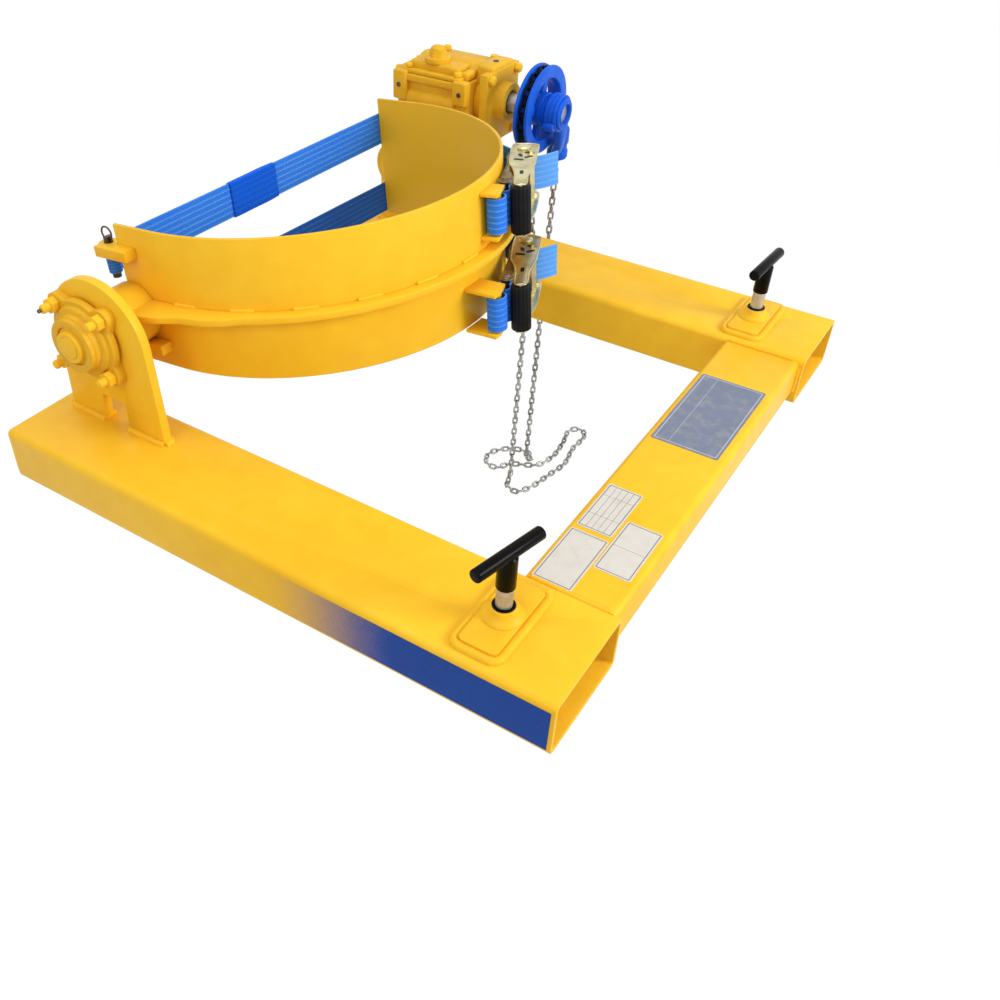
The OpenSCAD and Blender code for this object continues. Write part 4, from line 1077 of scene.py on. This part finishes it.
def rim_line(outline, inset, level, place):
    """A smooth closed line at an inset in millimetres from an outline."""
    corners = [Vector((x, y, 0)) for x, y in outline]
    middle = sum(corners, Vector()) / len(corners)
    line = [MM * (p - (p - middle).normalized() * inset) + level * Z_AXIS for p in corners]
    soft = smooth_line(line, 0.004, closed=True)
    return [place @ q for q in soft + soft[:1]]


def slot(on_handle, x, y, turn, long, end_r=0.0028, n=16):
    """A stamped slot in a handle's plate, drawn as a thin dark sheet of painted shade for its opening."""
    outline = [(long / 2 - end_r) * math.copysign(1, p.x) * X_AXIS + end_r * p
               for p in (compass(2 * math.pi * k / n) for k in range(n))]
    place = on_handle @ Matrix.Translation((x, y, 0.0360)) @ Matrix.Rotation(math.radians(turn), 4, "Z")
    return prism("slot", outline, 0.0, 0.00025, place)


HEAD = [(-14, -17), (-20, -4), (-19, 8), (-14, 18), (-4, 22), (66, 19), (92, 14), (116, 9.5), (150, 8.5), (156, 0),
        (150, -8.5), (116, -9.5), (88, -13.5), (60, -20)]
CHEEK = [(-12, -13), (0, -19), (20, -21), (45, -15), (70, -11), (111, -7), (118, 0), (111, 7), (40, 9), (0, 11),
         (-12, 3)]
HEAD_PROFILE = [(0.01, 0), (9.8, 0), (10.4, 1.2), (9.2, 3), (5, 4), (0.01, 4.2)]
SLOTS = [(0.022, 0.009, 75, 0.015), (0.032, -0.004, 15, 0.013), (0.040, 0.008, 120, 0.014),
         (0.050, -0.006, 70, 0.015), (0.104, 0.0, 0, 0.014)]
for side in SIDES:
    on_frame = ratchets[side]
    on_handle = on_frame @ Matrix.Rotation(LEAN, 4, "Z")
    upright = on_handle.to_3x3() @ Z_AXIS
    fit(fluted(f"{side}_fluted_grip", on_handle @ Matrix.Translation(GRIP)), f"{side}_handle", "black_plastic",
        black_grip, f"{side}_ratchet_grip")
    rims = [rim_line(HEAD, 1.6, z, on_handle) for z in (0.0361, -0.0361)]
    parts = [beads.on(f"{side}_rim", rims, Radius=0.0012, Ripple=0.0, Finish=zinc),
             lathe("rod", dome(5, 74, 1), upright, on_handle @ GRIP, 20)]
    for s in (-1, 1):
        parts.append(plate("plate", HEAD, s * 0.0335, s * 0.0360, on_handle))
        parts.append(lathe("head", HEAD_PROFILE, s * upright, on_handle @ (s * 0.0360 * Z_AXIS), 24))
    fit(joined(f"{side}_handle_pressing", parts, 50), f"{side}_handle", "zinc_steel", zinc, f"{side}_ratchet_handle")
    # Dark sheets of painted shade stand in the stamped slots.
    fit(joined(f"{side}_handle_slot_shade", [slot(on_handle, *row) for row in SLOTS]), f"{side}_handle", "black_paint",
        black_coat)
    fit(rounded(f"{side}_ratchet_frame", 0.6), "cradle", "zinc_steel", dull_zinc, f"{side}_ratchet_frame")
    cheeks = [plate("cheek", CHEEK, s * 0.0268, s * 0.0297, on_frame) for s in (-1, 1)]
    cheeks.append(beads.on("cheek_rims", [rim_line(CHEEK, 1.5, 0.0298, on_frame)], Radius=0.0011, Ripple=0.0,
                           Finish=dull_zinc))
    fit(joined(f"{side}_frame_cheeks", cheeks), "cradle", "zinc_steel", dull_zinc)
print("ratchets dressed")

# %% [markdown]
# ## Chain wheel hub and chain guide
#
# The wheel is one casting: a long stepped hub, four spokes with open windows between
# them, and a rim with a narrow groove. A second casting with a round eye hangs from the
# hub to keep the chain in that groove. Turned profiles give the round parts. The arm
# between collar and eye is a loft of rounded sections.

# %% The wheel: hub, rim and spokes
RIM_Y = 574
wheel_axle = Vector((WHEEL.x, 0.0, WHEEL.z))
barrel = lathe("barrel", [
    (15.1, 530), (15.8, 525), (16.8, 523.2), (20, 522.8), (21, 524.2), (24.5, 524.6), (26, 526.2), (26, 552.2),
    (27.8, 553), (27.8, 556), (26.6, 556.8), (26.6, 560), (29, 561.2), (29, 585), (27.5, 590), (26.2, 593.8),
    (15.1, 594)], Y_AXIS, wheel_axle, 64)
half_rim = [(51.5, 0), (51.5, 11), (53, 13.3), (56, 13.8), (70, 13.8), (72.5, 12.8), (73, 11), (73, 9.2),
            (72.2, 7.8), (69, 6.8), (60, 6.6), (59.5, 0)]
rim_profile = [(r, RIM_Y - w) for r, w in half_rim] + [(r, RIM_Y + w) for r, w in half_rim[-2:0:-1]]
casting = [barrel, lathe("rim", rim_profile, Y_AXIS, wheel_axle, 96)]
for k in range(4):
    spoke = block("spoke", (25.5, 569, -8.5), (55, 580, 8.5))
    spoke.data.transform(Matrix.Translation(wheel_axle) @ Matrix.Rotation(math.radians(8 + 90 * k), 4, "Y"))
    casting.append(spoke)
fit(joined("chain_wheel_casting", casting, 35), "hand_wheel", "blue_paint", blue_cast, "chain_wheel")

# %% The guide: collar, arm, eye and lugs
ARM_ALONG, ARM_ACROSS = Vector((0.42, 0.0, -0.91)).normalized(), Vector((0.91, 0.0, 0.42)).normalized()


def loft(name, sections, steps=24):
    """A closed body through (centre, width across, depth along y) sections turned square to the arm."""
    points = []
    for centre, wide, deep in sections:
        for p in (compass(2 * math.pi * k / steps) for k in range(steps)):
            points.append(centre + ARM_ACROSS * (wide / 2 * math.copysign(abs(p.x) ** 0.6, p.x))
                          + Y_AXIS * (deep / 2 * math.copysign(abs(p.y) ** 0.6, p.y)))
    return shade(outward(piece(name, points, skin(len(sections), steps, closed=False))), 50)


collar = lathe("guide_collar", [
    (26.2, 529), (29.5, 528.6), (30.6, 529.8), (30.6, 532.5), (29, 533.5), (29, 535.5), (31, 536.5), (31, 540),
    (29.2, 541), (29.2, 543), (31.6, 544), (31.6, 549), (30, 550.4), (26.2, 550)], Y_AXIS, wheel_axle, 56)
eye = lathe("guide_eye", [
    (13.2, 155), (15, 153.4), (17.6, 155), (19, 159), (19, 169), (16.8, 173), (16.8, 180), (19, 184), (19, 206),
    (17.8, 210), (13.2, 211)], Z_AXIS, Vector((0.568, 0.567, 0)), 40)
arm_points = [(0.026, 0.5390, 0.028, 0.018), (0.036, 0.5390, 0.026, 0.018), (0.050, 0.5400, 0.026, 0.018),
              (0.068, 0.5440, 0.024, 0.017), (0.084, 0.5500, 0.026, 0.018), (0.094, 0.5540, 0.024, 0.016)]
guide_arm = loft("guide_arm", [(wheel_axle + y * Y_AXIS + ARM_ALONG * along, wide, deep)
                               for along, y, wide, deep in arm_points])
lugs = [lathe("lug", dome(7.5, 20, 2), Y_AXIS, Vector((x, 0.5405, z)), 20)
        for x, z in ((0.4710, 0.2440), (0.5190, 0.2330))]
guide = joined("chain_guide_casting", [collar, eye, guide_arm] + lugs, 45)
fit(guide, "frame", "blue_paint", blue_cast, "chain_guide")
print("wheel and guide made")

# %% [markdown]
# ## Gearbox details
#
# A worm gearbox shows its worm as a long round tube along the case, with lugs at the
# corners for the studs and ribs between them. None of it is in the construction model,
# which keeps the case's main forms.

# %% Tube, lugs, ribs and bolt heads
CASE_X, CASE_Y0, CASE_Y1, BOLT_R = 430, 683, 827, 0.0575
lid = joined("gearbox_lid_casting", [
    block("lid_plate", (426, 696, 298.4), (568, 814, 306), 2.5),
    lathe("worm_barrel", dome(33, 136, 6), Y_AXIS, Vector((0.5000, 0.7500, 0.2860)), 56),
    block("lid_step", (436, 706, 304), (476, 806, 318.6), 4),
    block("near_saddle", (440, 688, 298.4), (562, 704, 313), 4),
    block("top_lug", (464, 652, 290), (536, 685, 323), 5)], 40)
fit(lid, "frame", "yellow_paint", yellow_cast, "gearbox_lid")
parts = [
    block("lip", (CASE_X - 7, CASE_Y0 + 4, 285), (CASE_X + 4, CASE_Y1 - 4, 298)),
    block("near_lug", (CASE_X - 12, CASE_Y0 - 4, 262), (CASE_X + 6, CASE_Y0 + 24, 303), 4),
    block("far_lug", (CASE_X - 12, CASE_Y1 - 24, 252), (CASE_X + 6, CASE_Y1 + 4, 303), 4),
    lathe("worm_tube", dome(19, 100, 4), Y_AXIS, Vector((0.439, 0.755, 0.2550)), 32),
    block("rib_under", (CASE_X - 4, CASE_Y0 + 10, 225), (CASE_X + 4, CASE_Y1 - 10, 231), 2),
    block("leg", (430, 650, 145), (452, 664, 200)),
    lathe("cap_dome", [(0.01, 0), (12.5, 0), (12.5, 2.2), (10, 4.8), (6, 6), (0.01, 6.2)], Z_AXIS,
          Vector((0.455, 0.760, 0.3386)), 24)]
for k in range(6):
    a = math.radians(30 + 60 * k)
    bolt_at = Vector((0.4455, PIVOT.y + BOLT_R * math.cos(a), PIVOT.z + BOLT_R * math.sin(a)))
    parts.append(lathe("case_bolt", dome(5.5, 12, 1.5), X_AXIS, bolt_at, 16))
fit(joined("gearbox_details", parts, 40), "frame", "yellow_paint", yellow_cast)
spots = [lathe("spot", dome(4.2, 6, 0.8), X_AXIS, Vector((0.4195, y, z)), 16)
         for y, z in ((0.6925, 0.282), (0.8175, 0.278))]
spots.append(lathe("spot", dome(5, 4, 0.8), Z_AXIS, Vector((0.500, 0.668, 0.3225)), 16))
fit(joined("gearbox_socket_screws", spots), "frame", "bare_steel", old_steel)

# %% Domed stud ends, bearing rings and grease tips
STUD_AT = 0.0415
STUD_PROFILE = [(0.01, 0), (5.9, 0), (5.4, 1.8), (3, 3), (0.01, 3.3)]
RING_PROFILE = [(36, 390), (56, 390), (56, 396.8), (54.5, 399), (49, 399.4), (47.8, 403), (46.2, 404.5),
                (40, 405.5), (38.5, 412), (36, 413)]
ends, rings, tips = [], [], []
for s in (-1, 1):
    for y in (-STUD_AT, STUD_AT):
        for z in (-STUD_AT, STUD_AT):
            ends.append(lathe("stud_end", STUD_PROFILE, s * X_AXIS, PIVOT + Vector((s * 0.4195, y, z)), 16))
    rings.append(lathe("bearing_ring", RING_PROFILE, s * X_AXIS, PIVOT, 64))
    tips.append(lathe("tip", dome(2.6, 6, 1), X_AXIS, PIVOT + Vector((s * 0.4245, STUD_AT, STUD_AT)), 12))
fit(joined("stud_ends", ends, 40), "frame", "yellow_paint", yellow)
fit(joined("bearing_rings", rings, 35), "frame", "yellow_paint", yellow_cast)
fit(joined("grease_tips", tips), "frame", "bare_steel", old_steel)
print("gearbox and bearing details made")

# %% [markdown]
# ## Floor, backdrop and light
#
# The photograph is cut out on white, so the floor is white to the camera and still
# takes a soft shadow. Three large, dim area lamps and a pale world give the even,
# mostly overhead light of a workshop.

# %% Floor and backdrop
FLOOR_HALF = 12
floor = stand("floor", bpy.data.meshes.new("floor"))
floor.data.from_pydata([(x * FLOOR_HALF, y * FLOOR_HALF, FLOOR_Z) for x, y in ((-1, -1), (1, -1), (1, 1), (-1, 1))],
                       [], [(0, 1, 2, 3)])
ground = Finish("pale_floor", Roughness=0.9, Specular_IOR_Level=0.1)
floor.data.materials.append(ground.paint(
    Base_Color=ground.mix(ground.noise(60.0, 4.0) * 0.2, srgb("c9c9c6"), srgb("c2c2be"))))

world = bpy.data.worlds.new("studio")
bpy.context.scene.world = world
world.use_nodes = True
sky = world.node_tree.nodes["Background"]
sky.inputs["Color"].default_value, sky.inputs["Strength"].default_value = (1, 1, 1, 1), 0.68


def white_to_the_eye(graph, shader, output, source, strength, weight):
    """Mixes white over a shader for the rays that end in the picture directly or in a mirror."""
    paths = graph.node("ShaderNodeLightPath").socket.node.outputs
    camera, glossy, through = (Value(graph, paths[f"Is {kind} Ray"]) for kind in ("Camera", "Glossy", "Transmission"))
    white = graph.node(source, {}, {"Color": (1, 1, 1, 1), "Strength": strength})
    plain_shader = Value(graph, shader.outputs[0])
    blend = graph.node("ShaderNodeMixShader", {},
                       [camera.highest(glossy).highest(through) * weight, plain_shader, white])
    graph.tree.links.new(blend.socket, graph.tree.nodes[output].inputs["Surface"])


white_to_the_eye(ground, ground.shader, "Material Output", "ShaderNodeEmission", 1.1, 0.85)
white_to_the_eye(Graph(world.node_tree), sky, "World Output", "ShaderNodeBackground", 1.0, 1.0)

# %% Lamps


def lamp(name, place, target, size, power):
    """A large soft area lamp aimed at a point."""
    light = bpy.data.lights.new(name, "AREA")
    light.shape, light.size, light.energy = "DISK", size, power
    obj = stand(name, light)
    obj.location = place
    obj.rotation_mode = "QUATERNION"
    obj.rotation_quaternion = (Vector(target) - Vector(place)).to_track_quat("-Z", "Y")


lamp("ceiling", (-0.5, 0.6, 4.4), (0, 0.5, 0), 3.0, 46)
lamp("front_right", (0.7, -3.0, 1.8), (0.0, 0.5, 0.1), 1.6, 84)
lamp("left", (-2.8, 0.3, 1.9), (-0.3, 0.6, 0.1), 1.4, 17)

bpy.context.scene.view_settings.view_transform = "Standard"
